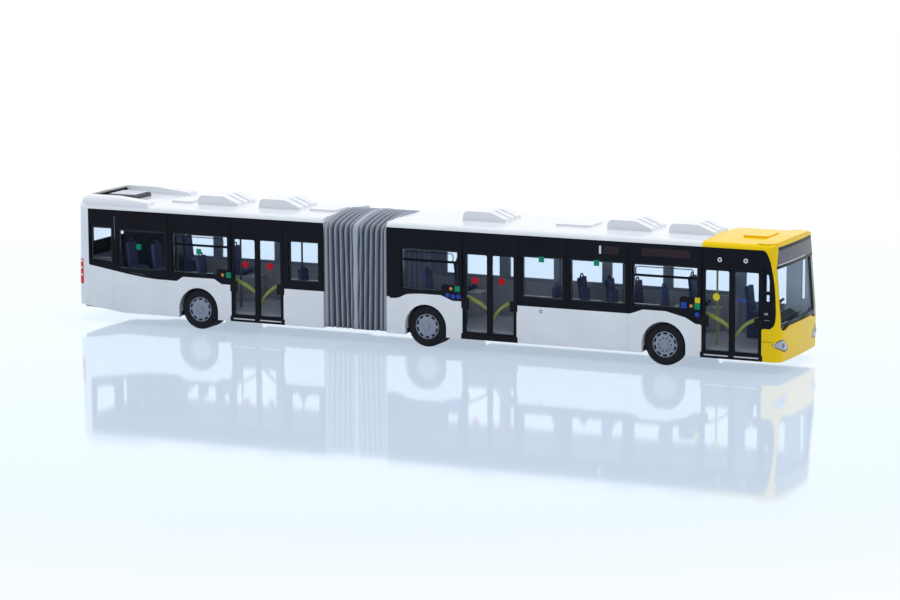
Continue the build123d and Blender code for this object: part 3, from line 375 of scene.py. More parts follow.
# Roof box: near-black sides, with its upward faces pale grey as painted light from above
box_grey_lit_top = moulded("roof_box_lit_top", (0.05, 0.052, 0.065), 0.45, zone=("Normal", "Z", 0.8, (0.6, 0.62, 0.68)))
display_grey = moulded("display_grey", (0.066, 0.07, 0.105), 0.18, specular=0.3)
display_dark = moulded("side_display", (0.03, 0.018, 0.024), 0.3, specular=0.1, mottle=0.15)
seat_cloth = woven("seat_cloth", (0.06, 0.07, 0.15), (0.12, 0.14, 0.27))
seat_plastic = moulded("seat_handle", (0.03, 0.036, 0.1), 0.4, specular=0.2)
# Bellows skin: pale ridges as a painted highlight, near-black valleys as painted shade
bellows_skin = pleated("bellows_skin", (0.56, 0.6, 0.68), (0.05, 0.058, 0.082))

sections = ("front", "rear")
node_materials = {
    white: ("front_body", "rear_body", "front_pods", "rear_pods", "front_hatch", "rear_hatches", "rear_cowl"),
    yellow: ("nose", "nose_hatch"),
    black: (*(f"{part}_band_{label}" for part in sections for _, label in sides), *doors),
    display_grey: ("destination_display",),
    clear: (
        "windscreen",
        "rear_window",
        *(f"{part}_panes_{label}" for part in sections for _, label in sides),
        *(f"{door}_panes" for door in doors),
    ),
    chassis_black: ("front_chassis", "rear_chassis", "dashboard", "steering_wheel"),
    tower_black: ("engine_tower",),
    black_matt: ("engine_grille", "cowl_grille"),
    deck_grey: ("front_floor", "rear_floor"),
    seat_cloth: ("front_seats", "rear_seats", "driver_seat"),
    rail_grey: ("front_rails", "rear_rails"),
    rail_yellow: ("front_grab_handles", "rear_grab_handles"),
    box_grey_lit_top: ("cowl_box",),
    lamp_glass: ("headlamps",),
    lamp_red: ("tail_lamps",),
    rubber: tuple(f"{n}_tyres" for n in axle_x),
    rim_grey: tuple(f"{n}_{part}" for n in axle_x for part in ("rims", "axle_pin")),
    bellows_skin: ("bellows",),
}
for mat, names in node_materials.items():
    for name in names:
        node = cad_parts[name]
        node.data.materials.clear()
        node.data.materials.append(mat)

# Mesh helpers
weld_reach = 0.005


def placed(name, data):
    obj = bpy.data.objects.new(name, data)
    bpy.context.scene.collection.objects.link(obj)
    return obj


def piece(name, verts, faces, mats, body, face_mats=None, smooth=False):
    """Mesh object from millimetre points that rides on a body."""
    mesh = bpy.data.meshes.new(name)
    mesh.from_pydata([tuple(c * MM for c in v) for v in verts], [], faces)
    for mat in mats:
        mesh.materials.append(mat)
    if face_mats:
        mesh.polygons.foreach_set("material_index", face_mats)
    mesh.polygons.foreach_set("use_smooth", [smooth] * len(mesh.polygons))
    shape = bmesh.new()
    shape.from_mesh(mesh)
    bmesh.ops.recalc_face_normals(shape, faces=shape.faces)
    shape.to_mesh(mesh)
    shape.free()
    obj = placed(name, mesh)
    if body:
        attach(obj, body)
    return obj


def rect(x0, x1, z0, z1):
    return [(x0, z0), (x1, z0), (x1, z1), (x0, z1)]


def rounded(x0, x1, z0, z1, radius, steps=4):
    """Rectangle outline with round corners."""
    back, front, low, high = x0 + radius, x1 - radius, z0 + radius, z1 - radius
    points = []
    for number, (x, z) in enumerate(((front, high), (back, high), (back, low), (front, low))):
        for step in range(steps + 1):
            turn = (number + step / steps) * pi / 2
            points.append((x + radius * cos(turn), z + radius * sin(turn)))
    return points


def disc(x, z, radius, count=24):
    return [(x + radius * cos(tau * i / count), z + radius * sin(tau * i / count)) for i in range(count)]


def join_rings(faces, first, second, count):
    """Adds the faces between two closed rings of points."""
    for i in range(count):
        j = (i + 1) % count
        faces.append([first + i, first + j, second + j, second + i])


def side_plates(name, outlines, mat, body, side=RIGHT, face=None, proud=0.03, depth=0.1):
    """Thin plates on a side wall: each outline in x and z stands proud of the wall face."""
    face = side_y if face is None else face
    verts, faces = [], []
    for outline in outlines:
        start, count = len(verts), len(outline)
        verts += [(x, side * (face + proud), z) for x, z in outline]
        verts += [(x, side * (face + proud - depth), z) for x, z in outline]
        faces.append(list(range(start, start + count)))
        faces.append(list(range(start + 2 * count - 1, start + count - 1, -1)))
        join_rings(faces, start, start + count, count)
    return piece(name, verts, faces, [mat], body)


def slab_faces(rows, count):
    """Faces of a thin slab between two grids of points, each of so many rows of so many points."""
    faces, half = [], rows * count
    for row in range(rows):
        for i in range(count):
            a = row * count + i
            b = a + half
            if row < rows - 1 and i < count - 1:
                faces.append([a, a + 1, a + count + 1, a + count])
                faces.append([b, b + count, b + count + 1, b + 1])
            if row < rows - 1 and i in (0, count - 1):
                faces.append([a, a + count, b + count, b])
            if i < count - 1 and row in (0, rows - 1):
                faces.append([a, a + 1, b + 1, b])
    return faces


def side_rings(name, pairs, mat, body, side=RIGHT, face=None, proud=0.03, depth=0.1):
    """Thin frames on a side wall, each between an outer and an inner outline of as many points."""
    face = side_y if face is None else face
    verts, faces = [], []
    for outer, inner in pairs:
        count = len(outer)
        start = len(verts)
        for y in (face + proud, face + proud - depth):
            verts += [(x, side * y, z) for x, z in outer]
            verts += [(x, side * y, z) for x, z in inner]
        a, b, c, d = (start + count * k for k in range(4))
        for first, second in ((a, b), (c, d), (a, c), (b, d)):
            join_rings(faces, first, second, count)
    return piece(name, verts, faces, [mat], body)


def end_x(end, y, z):
    """Place along X of the curved and leaning face of the nose or the tail."""
    tip, outward, crown, lean, lean_z, corner = ends[end]
    bow = (side_y**2 + crown**2) / (2 * crown)
    inset = side_y - corner
    back = lean * max(z - lean_z, 0) / (lean_top - lean_z)
    if abs(y) <= inset * bow / (bow - corner):
        back += bow - sqrt(bow**2 - y**2)
    else:
        back += bow - sqrt((bow - corner) ** 2 - inset**2)
        back -= sqrt(max(corner**2 - (abs(y) - inset) ** 2, 0))
    return tip - outward * back


def ribbons(name, paths, half, mat, body, end, proud=0.04, depth=0.12, step=0.8):
    """Thin strips that follow the face of an end along paths in y and z."""
    outward = ends[end][1]
    verts, faces = [], []
    for path in paths:
        points = [path[0]]
        for (y0, z0), (y1, z1) in zip(path, path[1:]):
            count = max(1, round(hypot(y1 - y0, z1 - z0) / step))
            points += [(y0 + (y1 - y0) * i / count, z0 + (z1 - z0) * i / count) for i in range(1, count + 1)]
        start = len(verts)
        for number, (y, z) in enumerate(points):
            before, after = points[max(number - 1, 0)], points[min(number + 1, len(points) - 1)]
            along_y, along_z = after[0] - before[0], after[1] - before[1]
            length = hypot(along_y, along_z)
            side_y_step, side_z_step = -along_z / length * half, along_y / length * half
            for sign, sink in ((1, 0), (-1, 0), (-1, depth), (1, depth)):
                py = max(-side_y, min(side_y, y + sign * side_y_step))
                pz = z + sign * side_z_step
                verts.append((end_x(end, py, pz) + outward * (proud - sink), py, pz))
        for number in range(len(points) - 1):
            join_rings(faces, start + 4 * number, start + 4 * number + 4, 4)
        last = start + 4 * (len(points) - 1)
        faces.append([start + 3, start + 2, start + 1, start])
        faces.append([last, last + 1, last + 2, last + 3])
    return piece(name, verts, faces, [mat], body)


def tubes(verts, faces, path, radius, count=8):
    """Adds a round bar along a path of points to a mesh."""
    start = len(verts)
    for number, point in enumerate(path):
        before, after = path[max(number - 1, 0)], path[min(number + 1, len(path) - 1)]
        along = (Vector(after) - Vector(before)).normalized()
        first = (along.orthogonal() if abs(along.x) > 0.9 else along.cross(Vector((1, 0, 0)))).normalized()
        second = along.cross(first)
        for i in range(count):
            turn = tau * i / count
            verts.append(tuple(Vector(point) + radius * (first * cos(turn) + second * sin(turn))))
    for number in range(len(path) - 1):
        join_rings(faces, start + number * count, start + (number + 1) * count, count)
    faces.append([start + i for i in range(count)])
    faces.append([start + (len(path) - 1) * count + i for i in range(count)])


def soften(obj, width, segments=2):
    """Rounds sharp edges a little, as moulded edges are."""
    bevel = obj.modifiers.new("soft_edges", "BEVEL")
    bevel.width = width * MM
    bevel.segments = segments
    bevel.limit_method = "ANGLE"
    bevel.angle_limit = radians(35)


def welded(name):
    """A node with the shared points of its faces joined, so that modifiers keep it closed."""
    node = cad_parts[name]
    weld = node.modifiers.new("joined", "WELD")
    weld.merge_threshold = weld_reach * MM
    return node


# Bellows: a folded skin between the sections
bellows_low, bellows_high = box_mm("bellows")
bellows_half = bellows_high[1]
bellows_foot, bellows_top = bellows_low[2], bellows_high[2]
bellows_length = front_open_x - rear_open_x
bellows_crown = 1.9
bellows_corner, bellows_corner_turn = 2.2, radians(78)
folds_per_half, steps_per_fold = 5, 10
fold_depth, fold_power = 1.35, 1.15
ridge_drawn = 0.12
frame_width, frame_drawn, frame_crest = 0.9, 0.3, 0.22
hoop_width, hoop_edge, hoop_drawn, hoop_crest, hoop_land = 1.5, 0.1, 0.14, 0.1, 0.4
skin_depth = 1.6
pleat_sway = 2.6
ripple, ripple_rise, ripple_run = 0.1, 0.5, 2.0
outer_shade_power, inner_shade = 0.55, 0.5


def bellows_section(drawn_in, corner_steps=7, crown_steps=10, side_steps=14):
    """Section from the foot up one side and over to the middle, then mirrored."""
    half = bellows_half - drawn_in
    eave = bellows_top - bellows_crown - drawn_in
    height = eave - bellows_corner - bellows_foot
    flank = [(half, bellows_foot + height * i / side_steps) for i in range(side_steps)]
    for i in range(corner_steps + 1):
        turn = bellows_corner_turn * i / corner_steps
        flank.append((half - bellows_corner * (1 - cos(turn)), eave - bellows_corner * (1 - sin(turn))))
    edge_y, edge_z = flank[-1]
    for i in range(1, crown_steps + 1):
        left = 1 - i / crown_steps
        flank.append((edge_y * left, edge_z + (eave + bellows_crown - edge_z) * (1 - left**2)))
    return flank + [(-y, z) for y, z in reversed(flank[:-1])]


def bellows_stations():
    """Places along the bellows from the front, each with how far it is drawn in."""
    span = (bellows_length - 2 * frame_width - hoop_width) / 2
    pitch = span / folds_per_half
    half = [(0.0, frame_drawn), (frame_width * 0.5, frame_crest), (frame_width, frame_drawn)]
    for fold in range(folds_per_half):
        for step in range(steps_per_fold):
            share = (step + 0.5) / steps_per_fold
            wave = abs(2 * share - 1)
            half.append((frame_width + (fold + share) * pitch, ridge_drawn + fold_depth * wave**fold_power))
    hoop = frame_width + span
    half += [(hoop, fold_depth), (hoop + hoop_edge, hoop_drawn), (bellows_length / 2 - hoop_land, hoop_crest)]
    stations = [(front_open_x - along, drawn) for along, drawn in half]
    return stations + [(rear_open_x + along, drawn) for along, drawn in reversed(half)]


def build_bellows():
    stations = bellows_stations()
    middle_x = (front_open_x + rear_open_x) / 2
    height = bellows_top - bellows_foot
    # Painted shade stored per point, from how far the skin is drawn in: full in the valleys, little on the
    # ridges, and half as much on the inner skin
    verts, fold_shades = [], []
    inner = bellows_section(skin_depth)
    for x, drawn in stations:
        reach = (x - middle_x) / (front_open_x - middle_x)
        for y, z in bellows_section(drawn):
            drop = (bellows_top - z) / height
            sway = pleat_sway * drop * (abs(reach) - 1) * reach
            sway += ripple * sin(ripple_rise * z + ripple_run * x) * (1 - abs(reach))
            verts.append((x + sway, y, z))
            fold_shades.append(min(drawn / fold_depth, 1.0) ** outer_shade_power)
    for x, drawn in stations:
        for y, z in inner:
            verts.append((x, y, z))
            fold_shades.append(inner_shade * min(drawn / fold_depth, 1.0))
    faces = slab_faces(len(stations), len(inner))
    obj = piece("bellows_skin", verts, faces, [bellows_skin], None, smooth=True)
    # The fold_depth attribute holds the painted shade of the folds
    stored = obj.data.attributes.new("fold_depth", "FLOAT", "POINT")
    stored.data.foreach_set("value", fold_shades)
    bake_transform(obj)
    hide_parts("bellows")


build_bellows()

# Wheels
tyre_width = 3.1
twin_pitch = tyre_width + 0.5
rim_radius = 3.45
rim_recess = 0.35
tread_blocks, groove_depth, groove_places = 42, 0.17, (8, 9, 10, 17, 18)
rim_slots, slot_depth = 10, 0.55
slot_floor, slot_walls = (6, 7), (5, 6, 7)
# Steps across and out: from the outer face and the rim, then from the outer or inner face and the tread
tyre_sidewall = ((-0.5, 0), (-0.12, 0.05), (-0.02, 0.35), (-0.06, 0.55), (0, 0.68), (0, 0.95), (-0.08, 1.1))
tyre_shoulder = ((-0.2, -0.42), (-0.34, -0.16), (-0.5, 0), (-0.95, 0), (-1, -0.25), (-1.15, -0.25), (-1.2, 0))
tyre_inner = ((1.2, 0), (1.15, -0.25), (1.0, -0.25), (0.95, 0), (0.3, 0), (0, -0.4))
# Steps across and out from the front of the rim and its edge: lip, slots and dish, then the hub
rim_steps = ((-0.05, 0), (0.06, -0.06), (0.06, -0.2), (-0.05, -0.26), (-0.02, -0.32), (-0.02, -0.34))
rim_steps += ((-0.02, -0.78), (-0.02, -0.8), (0.06, -1.3))
hub_steps = ((0.1, 1.3), (0.02, 1.22), (0.06, 0.95), (0.1, 0.5), (0.12, 0.01))
# Places across the pitch of a slot, and whether each lies in the slot
slot_edges = ((-0.5, 0), (-0.4, 0), (-0.32, 0), (-0.3, 1), (0, 1), (0.3, 1), (0.32, 0), (0.4, 0))
nut_circle, nut_radius, nut_sides, nut_base, nut_top = 1.75, 0.2, 6, 0.02, 0.22


def lathe(verts, faces, profile, angles, centre_x, side, cut):
    """Adds a surface about a wheel's axle: profile of distances across and out, less a cut in each."""
    start, count = len(verts), len(profile)
    for number, turn in enumerate(angles):
        for place, (across, out) in enumerate(profile):
            sunk, grooved = cut(number, place)
            radius, y = out - grooved, side * (across - sunk)
            verts.append((centre_x + radius * cos(turn), y, tyre_radius + radius * sin(turn)))
    for number in range(len(angles)):
        following = (number + 1) % len(angles)
        for place in range(count - 1):
            a, b = start + number * count + place, start + following * count + place
            faces.append([a, a + 1, b + 1, b])


def tyre_profile(face):
    """Across and out: bead, sidewall with a rib, shoulder, tread with two grooves, and the inner side."""
    inside = face - tyre_width
    profile = [(face + across, rim_radius + out) for across, out in tyre_sidewall]
    profile += [(face + across, tyre_radius + out) for across, out in tyre_shoulder]
    profile += [(inside + across, tyre_radius + out) for across, out in tyre_inner]
    return profile + [(inside, rim_radius), profile[0]]


def tread_cut(number, place):
    """Cross grooves at the shoulders, by the place in the tyre profile."""
    return 0.0, groove_depth if number % 4 == 0 and place in groove_places else 0.0


def build_tyres(name, faces_y):
    angles = [tau * i / (4 * tread_blocks) for i in range(4 * tread_blocks)]
    verts, faces = [], []
    for face in faces_y:
        for side in (RIGHT, LEFT):
            lathe(verts, faces, tyre_profile(face), angles, axle_x[name], side, tread_cut)
    obj = piece(f"{name}_tyre_set", verts, faces, [rubber], f"{name}_wheels")
    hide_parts(f"{name}_tyres")


def slot_angles():
    """Angles round a rim with close pairs at the slots' ends, and whether each lies in a slot."""
    pitch = tau / rim_slots
    middles = [(slot + 0.5) * pitch for slot in range(rim_slots)]
    return [(middle + place * pitch, flag) for middle in middles for place, flag in slot_edges]


def build_rims(name, faces_y, nuts):
    """Flat wheel covers with shallow slots near the edge, painted near black as painted shade; front wheels
    also show their nuts, in the same near black.
    """
    places = slot_angles()
    angles = [turn for turn, _ in places]
    inside = [flag for _, flag in places]
    verts, faces, marks = [], [], []
    for row, face in enumerate(faces_y):
        front = face - rim_recess
        back = face - tyre_width + 0.1
        profile = [(back, rim_radius)] + [(front + across, rim_radius + out) for across, out in rim_steps]
        profile += [(front + across, out) for across, out in hub_steps]

        def slot_cut(number, place):
            return slot_depth if row == 0 and inside[number] and place in slot_floor else 0.0, 0.0

        for side in (RIGHT, LEFT):
            lathe(verts, faces, profile, angles, axle_x[name], side, slot_cut)
            for number, flag in enumerate(inside):
                slotted = row == 0 and flag and inside[(number + 1) % len(inside)]
                marks += [int(slotted and place in slot_walls) for place in range(len(profile) - 1)]
            if not nuts or row > 0:
                continue
            for nut in range(rim_slots):
                turn = tau * nut / rim_slots
                x, z = axle_x[name] + nut_circle * cos(turn), tyre_radius + nut_circle * sin(turn)
                base, outline = len(verts), disc(x, z, nut_radius, nut_sides)
                for height in (nut_base, nut_top):
                    verts += [(px, side * (front + height), pz) for px, pz in outline]
                join_rings(faces, base, base + nut_sides, nut_sides)
                faces.append([base + nut_sides + i for i in range(nut_sides)])
                marks += [1] * (nut_sides + 1)
    obj = piece(f"{name}_rim_set", verts, faces, [rim_grey, slot_shade_and_nuts], f"{name}_wheels", marks)
    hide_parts(f"{name}_rims")


single = [wheel_face_y]
twin = [wheel_face_y, wheel_face_y - twin_pitch]
for name, faces_y in (("front", single), ("middle", twin), ("rear", twin)):
    build_tyres(name, faces_y)
    build_rims(name, faces_y, nuts=name == "front")

# Door trim on the kerb side: sill strips, edge tabs and the seal between the leaves
tab_foot, tab_top, tab_width, tab_lap, tab_corner = 11.3, 14.2, 2.0, 0.25, 0.25
sill_foot, sill_top, sill_lap = 3.1, 4.6, 0.3
strip_foot, strip_top, strip_edge, strip_middle = 3.75, 4.05, 0.7, 0.8
seal_half, seal_top = 0.12, 26.8
for name, (x0, x1) in doors.items():
    body = REAR if name == "rear_door" else FRONT
    middle = (x0 + x1) / 2
    tab_spans = ((x0 - tab_lap, x0 + tab_width), (x1 - tab_width, x1 + tab_lap))
    tabs = [rounded(*span, tab_foot, tab_top, tab_corner) for span in tab_spans]
    soften(side_plates(f"{name}_tabs", tabs, black_matt, body, proud=0.12, depth=0.3), 0.06)
    sills = [rounded(x0 - sill_lap, x1 + sill_lap, sill_foot, sill_top, 0.15)]
    soften(side_plates(f"{name}_sill", sills, black_matt, body, proud=0.1, depth=0.3), 0.05)
    if name != "middle_door":
        strip_spans = ((x0 + strip_edge, middle - strip_middle), (middle + strip_middle, x1 - strip_edge))
        strips = [rounded(*span, strip_foot, strip_top, 0.1) for span in strip_spans]
        side_plates(f"{name}_strips", strips, seam_grey, body, proud=0.14, depth=0.06)
    seal = [rect(middle - seal_half, middle + seal_half, sill_top, seal_top)]
    side_plates(f"{name}_seal", seal, black_matt, body, face=door_y, proud=0.06, depth=0.1)

# Hopper windows: a bar across the window and the thin frame of the vent above it
bar_z, bar_half = 23.4, 0.32
vent_back, vent_front, vent_height, vent_frame = 0.9, 1.2, 2.35, 0.22
windows_with_vent = (
    # piece, window from back to front, body
    ("bellows_vent", -3.0, 13.6, FRONT),
    ("front_vent", 63.2, 81.3, FRONT),
    ("rear_vent", -73.0, -55.5, REAR),
)
for name, x0, x1, body in windows_with_vent:
    side_plates(f"{name}_bar", [rect(x0, x1, bar_z - bar_half, bar_z + bar_half)], black, body, proud=0.04)
    back, front, head = x0 + vent_back, x1 - vent_front, bar_z + vent_height
    outer = rounded(back, front, bar_z, head, 0.7)
    inner = rounded(back + vent_frame, front - vent_frame, bar_z + vent_frame, head - vent_frame, 0.5)
    side_rings(f"{name}_frame", [(outer, inner)], black, body, proud=0.04)

# Stickers on the windows, discs and bars on the door panes, lamp rings and the filler ring
prints = {
    name: moulded(f"print_{name}", colour, 0.3, specular=0.12)
    for name, colour in (
        ("green", (0.004, 0.26, 0.13)),
        ("orange", (0.7, 0.3, 0.06)),
        ("blue", (0.02, 0.07, 0.42)),
        ("red", (0.5, 0.006, 0.012)),
        ("yellow", (0.75, 0.62, 0.02)),
    )
}
print_white = moulded("print_white", (0.8, 0.8, 0.82), 0.3)
front_greens = [(13.47, 16.39), (37.7, 25.73), (53.24, 25.76), (81.11, 16.21)]
front_blues = [(10.63, 14.52), (12.26, 14.25), (13.84, 14.3), (81.13, 14.05)]
stickers = (
    # name, colour, outline kind, places in x and z, half size, body
    ("rear_green", "green", "square", [(-83.33, 21.84), (-64.4, 21.7), (-55.23, 15.73)], 0.75, REAR),
    ("front_green", "green", "square", front_greens, 0.75, FRONT),
    ("rear_orange", "orange", "disc", [(-57.1, 15.67)], 0.45, REAR),
    ("front_orange", "orange", "disc", [(11.63, 16.33), (79.47, 16.25)], 0.45, FRONT),
    ("front_blue", "blue", "disc", front_blues, 0.62, FRONT),
    ("front_blue_square", "blue", "square", [(77.44, 16.3)], 0.8, FRONT),
    ("front_yellow", "yellow", "square", [(81.21, 17.79)], 0.7, FRONT),
)
for name, colour, kind, places, half, body in stickers:
    shapes = [
        disc(x, z, half) if kind == "disc" else rounded(x - half, x + half, z - half, z + half, 0.12)
        for x, z in places
    ]
    side_plates(f"{name}_stickers", shapes, prints[colour], body, proud=0.05, depth=0.05)
disc_radius = 0.95
door_prints = (
    # piece, colour, outlines, body
    ("rear_door_discs", "red", [disc(-50.14, 18.97, disc_radius), disc(-42.48, 18.9, disc_radius)], REAR),
    ("middle_door_discs", "red", [disc(18.67, 18.95, disc_radius), disc(26.32, 19.11, disc_radius)], FRONT),
    ("front_door_bar", "blue", [rounded(92.0, 94.5, 18.3, 18.8, 0.1)], FRONT),
    ("front_door_disc", "yellow", [disc(86.29, 19.01, disc_radius)], FRONT),
)
for name, colour, outlines, body in door_prints:
    side_plates(name, outlines, prints[colour], body, face=door_y)
door_lamps = [(disc(x, z, 0.6), disc(x, z, 0.3)) for x, z in ((87.17, 28.7), (94.19, 28.79))]
side_rings("door_lamp_rings", door_lamps, print_white, FRONT, proud=0.06)
filler = (37.53, 11.99)
side_rings("filler_ring", [(disc(*filler, 0.45), disc(*filler, 0.28))], prints["blue"], FRONT, proud=0.04)


# Black blocks in the window corners, side displays, the front corner window and the seams
def corner_block(x0, x1, z1, radius=0.9):
    """Outline from the window foot up, with a round upper back corner."""
    turns = [t * pi / 12 for t in range(7)]
    arc = [(x0 + radius - radius * sin(t), z1 - radius + radius * cos(t)) for t in turns]
    return [(x0, window_foot), (x1, window_foot), (x1, z1)] + arc


window_foot = 15.4
front_blocks = [corner_block(8.9, 13.6, 17.4), corner_block(76.3, 81.3, 18.6)]
side_plates("front_blocks", front_blocks, black, FRONT)
side_plates("rear_block", [corner_block(-59.0, -55.5, 17.3)], black, REAR)
display_panels = [rounded(65.76, 79.1, 28.46, 30.49, 0.12), rounded(55.15, 59.42, 28.29, 30.35, 0.12)]
side_plates("side_displays", display_panels, display_dark, FRONT)
side_plates("side_display_bar", [rounded(53.95, 54.5, 28.25, 30.35, 0.1)], print_white, FRONT)
quarter = (nose_x - 4.95, nose_x - 2.95)
quarter_fill = [rect(*quarter, 14.3, 18.75), rect(*quarter, 20.4, 21.35)]
side_plates("quarter_fill", quarter_fill, black, FRONT)
quarter_mark = [rounded(99.3, 100.3, 15.2, 15.75, 0.12), rect(99.35, 100.7, 13.8, 13.92)]
side_plates("quarter_mark", quarter_mark, roof_grey, FRONT, proud=0.06)


def upright_seams(half, places):
    """Thin upright strips, each at a place along X from a foot to a head."""
    return [rect(x - half, x + half, foot, head) for x, foot, head in places]


band_top_z, front_band_foot, rear_band_foot = 31.7, 13.6, 15.6
front_band_x, rear_band_x = (14.9, 31.0, 44.7, 62.2, 82.3), (-91.0, -74.0, -54.5, -38.4)
front_seams = upright_seams(0.07, [(61.93, 3.1, 13.1)])
rear_seams = upright_seams(0.07, [(-99.47, 4.9, 10.6), (-91.41, 4.0, 15.3), (-74.83, 3.1, 13.1)])
front_band_seams = upright_seams(0.1, [(x, front_band_foot, band_top_z) for x in front_band_x])
rear_band_seams = upright_seams(0.1, [(x, rear_band_foot, band_top_z) for x in rear_band_x])
seams = (
    # piece, outlines, material, body, how proud, how deep
    ("front_seams", front_seams, seam_grey, FRONT, 0.01, 0.05),
    ("rear_seams", rear_seams, seam_grey, REAR, 0.01, 0.05),
    ("front_band_seams", front_band_seams, seam_black, FRONT, 0.02, 0.06),
    ("rear_band_seams", rear_band_seams, seam_black, REAR, 0.02, 0.06),
)
for side, label in sides:
    for name, outlines, mat, body, proud, depth in seams:
        side_plates(f"{name}_{label}", outlines, mat, body, side, proud=proud, depth=depth)

# Curved foot of the window bands: prints that round the corners of the straight inlays
print_rise = 0.6
rear_foot = [(-99.2, 16.0), (-95.3, 15.4), (-91.4, 14.8), (-86.7, 14.08), (-82.0, 13.48), (-78.0, 13.18)]
rear_foot += [(-75.0, 13.15), (-72.8, 13.32), (-71.5, 13.75), (-70.4, 14.25), (-68.7, 14.42)]
coupling_foot = [(-6.4, 12.7), (-4.6, 12.78), (-3.6, 13.0), (-2.9, 13.4), (-1.3, 14.05), (0.6, 14.25)]
coupling_foot += [(3.0, 14.42)]
for side, label in sides:
    for part, foot, body in (("rear", rear_foot, REAR), ("coupling", coupling_foot, FRONT)):
        outline = foot + [(x, z + print_rise) for x, z in reversed(foot)]
        side_plates(f"{part}_band_foot_{label}", [outline], black, body, side, proud=0.02, depth=0.06)
# A thin grey line on the rear band beside a seam, a painted highlight on the moulding
side_plates("rear_band_highlight", [rect(-91.03, -90.94, 23.75, 30.0)], roof_grey, REAR, proud=0.05, depth=0.04)

# Nose: display frame, wipers, headlamps, the round front edge of the bands and the seam under it
display_lines = (
    # piece, ends across, height, half width, material, how proud
    ("display_head", -12.4, 12.4, 31.95, 0.4, black, 0.04),
    ("display_line", -13.6, 6.0, 27.95, 0.09, print_white, 0.05),
    ("display_foot", -13.6, 13.6, 27.45, 0.3, black, 0.04),
)
for name, y0, y1, z, half, mat, proud in display_lines:
    ribbons(name, [[(y0, z), (y1, z)]], half, mat, FRONT, "nose", proud=proud)
right_pivot, left_pivot = (-10.5, 12.7), (1.0, 12.7)
wipers = [[right_pivot, (-1.2, 14.4)], [left_pivot, (10.2, 14.6)]]
wipers += [[right_pivot, (-12.2, 12.4)], [left_pivot, (-0.6, 12.4)]]
soften(ribbons("wipers", wipers, 0.13, black_matt, FRONT, "nose", proud=0.22, depth=0.2), 0.04)
lamp_outline = [(9.5, 6.1), (12.05, 5.9), (14.35, 6.8), (14.6, 7.9), (13.4, 8.8), (11.45, 8.0)]
lamp_y, lamp_z = 12.3, 7.2
lamp_wrap_y, lens_forward, lens_outward = 13.4, 0.6, 0.3
# Share of the lamp's outline, and how proud it stands
lens_rings = ((1.0, -0.3), (1.0, 0.02), (0.9, 0.1), (0.6, 0.2), (0.3, 0.24), (0.02, 0.25))
bulb_y, bulb_z, bulb_radius, bulb_steps = 12.6, 7.3, 0.4, 16


def smooth_loop(points, steps=6):
    """Closed smooth curve through points."""
    curve, count = [], len(points)
    for number in range(count):
        before, here, there, after = (points[(number + k) % count] for k in (-1, 0, 1, 2))
        for step in range(steps):
            t = step / steps
            shares = (2 * t**2 - t - t**3, 2 - 5 * t**2 + 3 * t**3, t + 4 * t**2 - 3 * t**3, t**3 - t**2)
            corners = list(zip(shares, (before, here, there, after)))
            curve.append(tuple(0.5 * sum(share * point[axis] for share, point in corners) for axis in (0, 1)))
    return curve


def build_headlamps():
    """Smooth crowned lenses in place of the plain lamp solids."""
    verts, faces = [], []
    for side in (RIGHT, LEFT):
        curve = smooth_loop(lamp_outline)
        start, count = len(verts), len(curve)
        for share, proud in lens_rings:
            for y, z in curve:
                py = min(lamp_y + (y - lamp_y) * share, side_y - 0.02)
                pz = lamp_z + (z - lamp_z) * share
                wrapped = py + max(py - lamp_wrap_y, 0) * proud * lens_outward
                verts.append((end_x("nose", py, pz) + proud * lens_forward, side * wrapped, pz))
        last = start + (len(lens_rings) - 1) * count
        for ring in range(start, last, count):
            join_rings(faces, ring, ring + count, count)
        faces.append([start + i for i in range(count)])
        faces.append([last + i for i in range(count)])
    obj = piece("headlamp_lenses", verts, faces, [lamp_glass], FRONT, smooth=True)
    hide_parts("headlamps")


band_edge = (
    # height, back and front of the print along X
    (11.62, 98.6, 99.3),
    (11.8, 98.6, 100.98),
    (12.37, 100.6, 101.81),
    (13.55, 101.2, 102.22),
    (15.63, 101.2, 102.35),
    (19.75, 101.2, 102.15),
    (22.93, 100.9, 101.88),
    (25.65, 100.5, 101.46),
    (28.59, 99.9, 100.87),
    (29.71, 99.2, 100.5),
    (31.0, 98.4, 99.9),
    (31.55, 98.3, 99.35),
    (31.72, 98.3, 98.8),
)


def corner_print(name, rows, mat, body, side, steps=6, proud=0.03, depth=0.08):
    """Thin print on the side wall that wraps round the nose corner."""
    corner = ends["nose"][-1]
    inset = side_y - corner
    verts = []
    for out in (proud, proud - depth):
        for z, x0, x1 in rows:
            start = end_x("nose", side_y, z)
            for i in range(steps + 1):
                x = x0 + (x1 - x0) * i / steps
                turn = asin(min(max((x - start) / corner, 0.0), 1.0))
                verts.append((x + out * sin(turn), side * (inset + (corner + out) * cos(turn)), z))
    piece(name, verts, slab_faces(len(rows), steps + 1), [mat], body)


build_headlamps()
for side, label in sides:
    rim = [(side * min(y, side_y), z) for y, z in smooth_loop(lamp_outline)]
    ribbons(f"headlamp_rim_{label}", [rim + rim[:1]], 0.12, lamp_dark, FRONT, "nose", proud=0.06, step=0.4)
    turns = [tau * i / bulb_steps for i in range(bulb_steps + 1)]
    ring = [(side * bulb_y + bulb_radius * cos(t), bulb_z + bulb_radius * sin(t)) for t in turns]
    ribbons(f"headlamp_ring_{label}", [ring], 0.2, lamp_dark, FRONT, "nose", proud=0.17, step=0.2)
    corner_print(f"band_edge_{label}", band_edge, black, FRONT, side)
    nose_seam = [rect(98.7, 101.4, 8.25, 8.35)]
    side_plates(f"nose_seam_{label}", nose_seam, seam_black, FRONT, side, proud=0.01, depth=0.05)

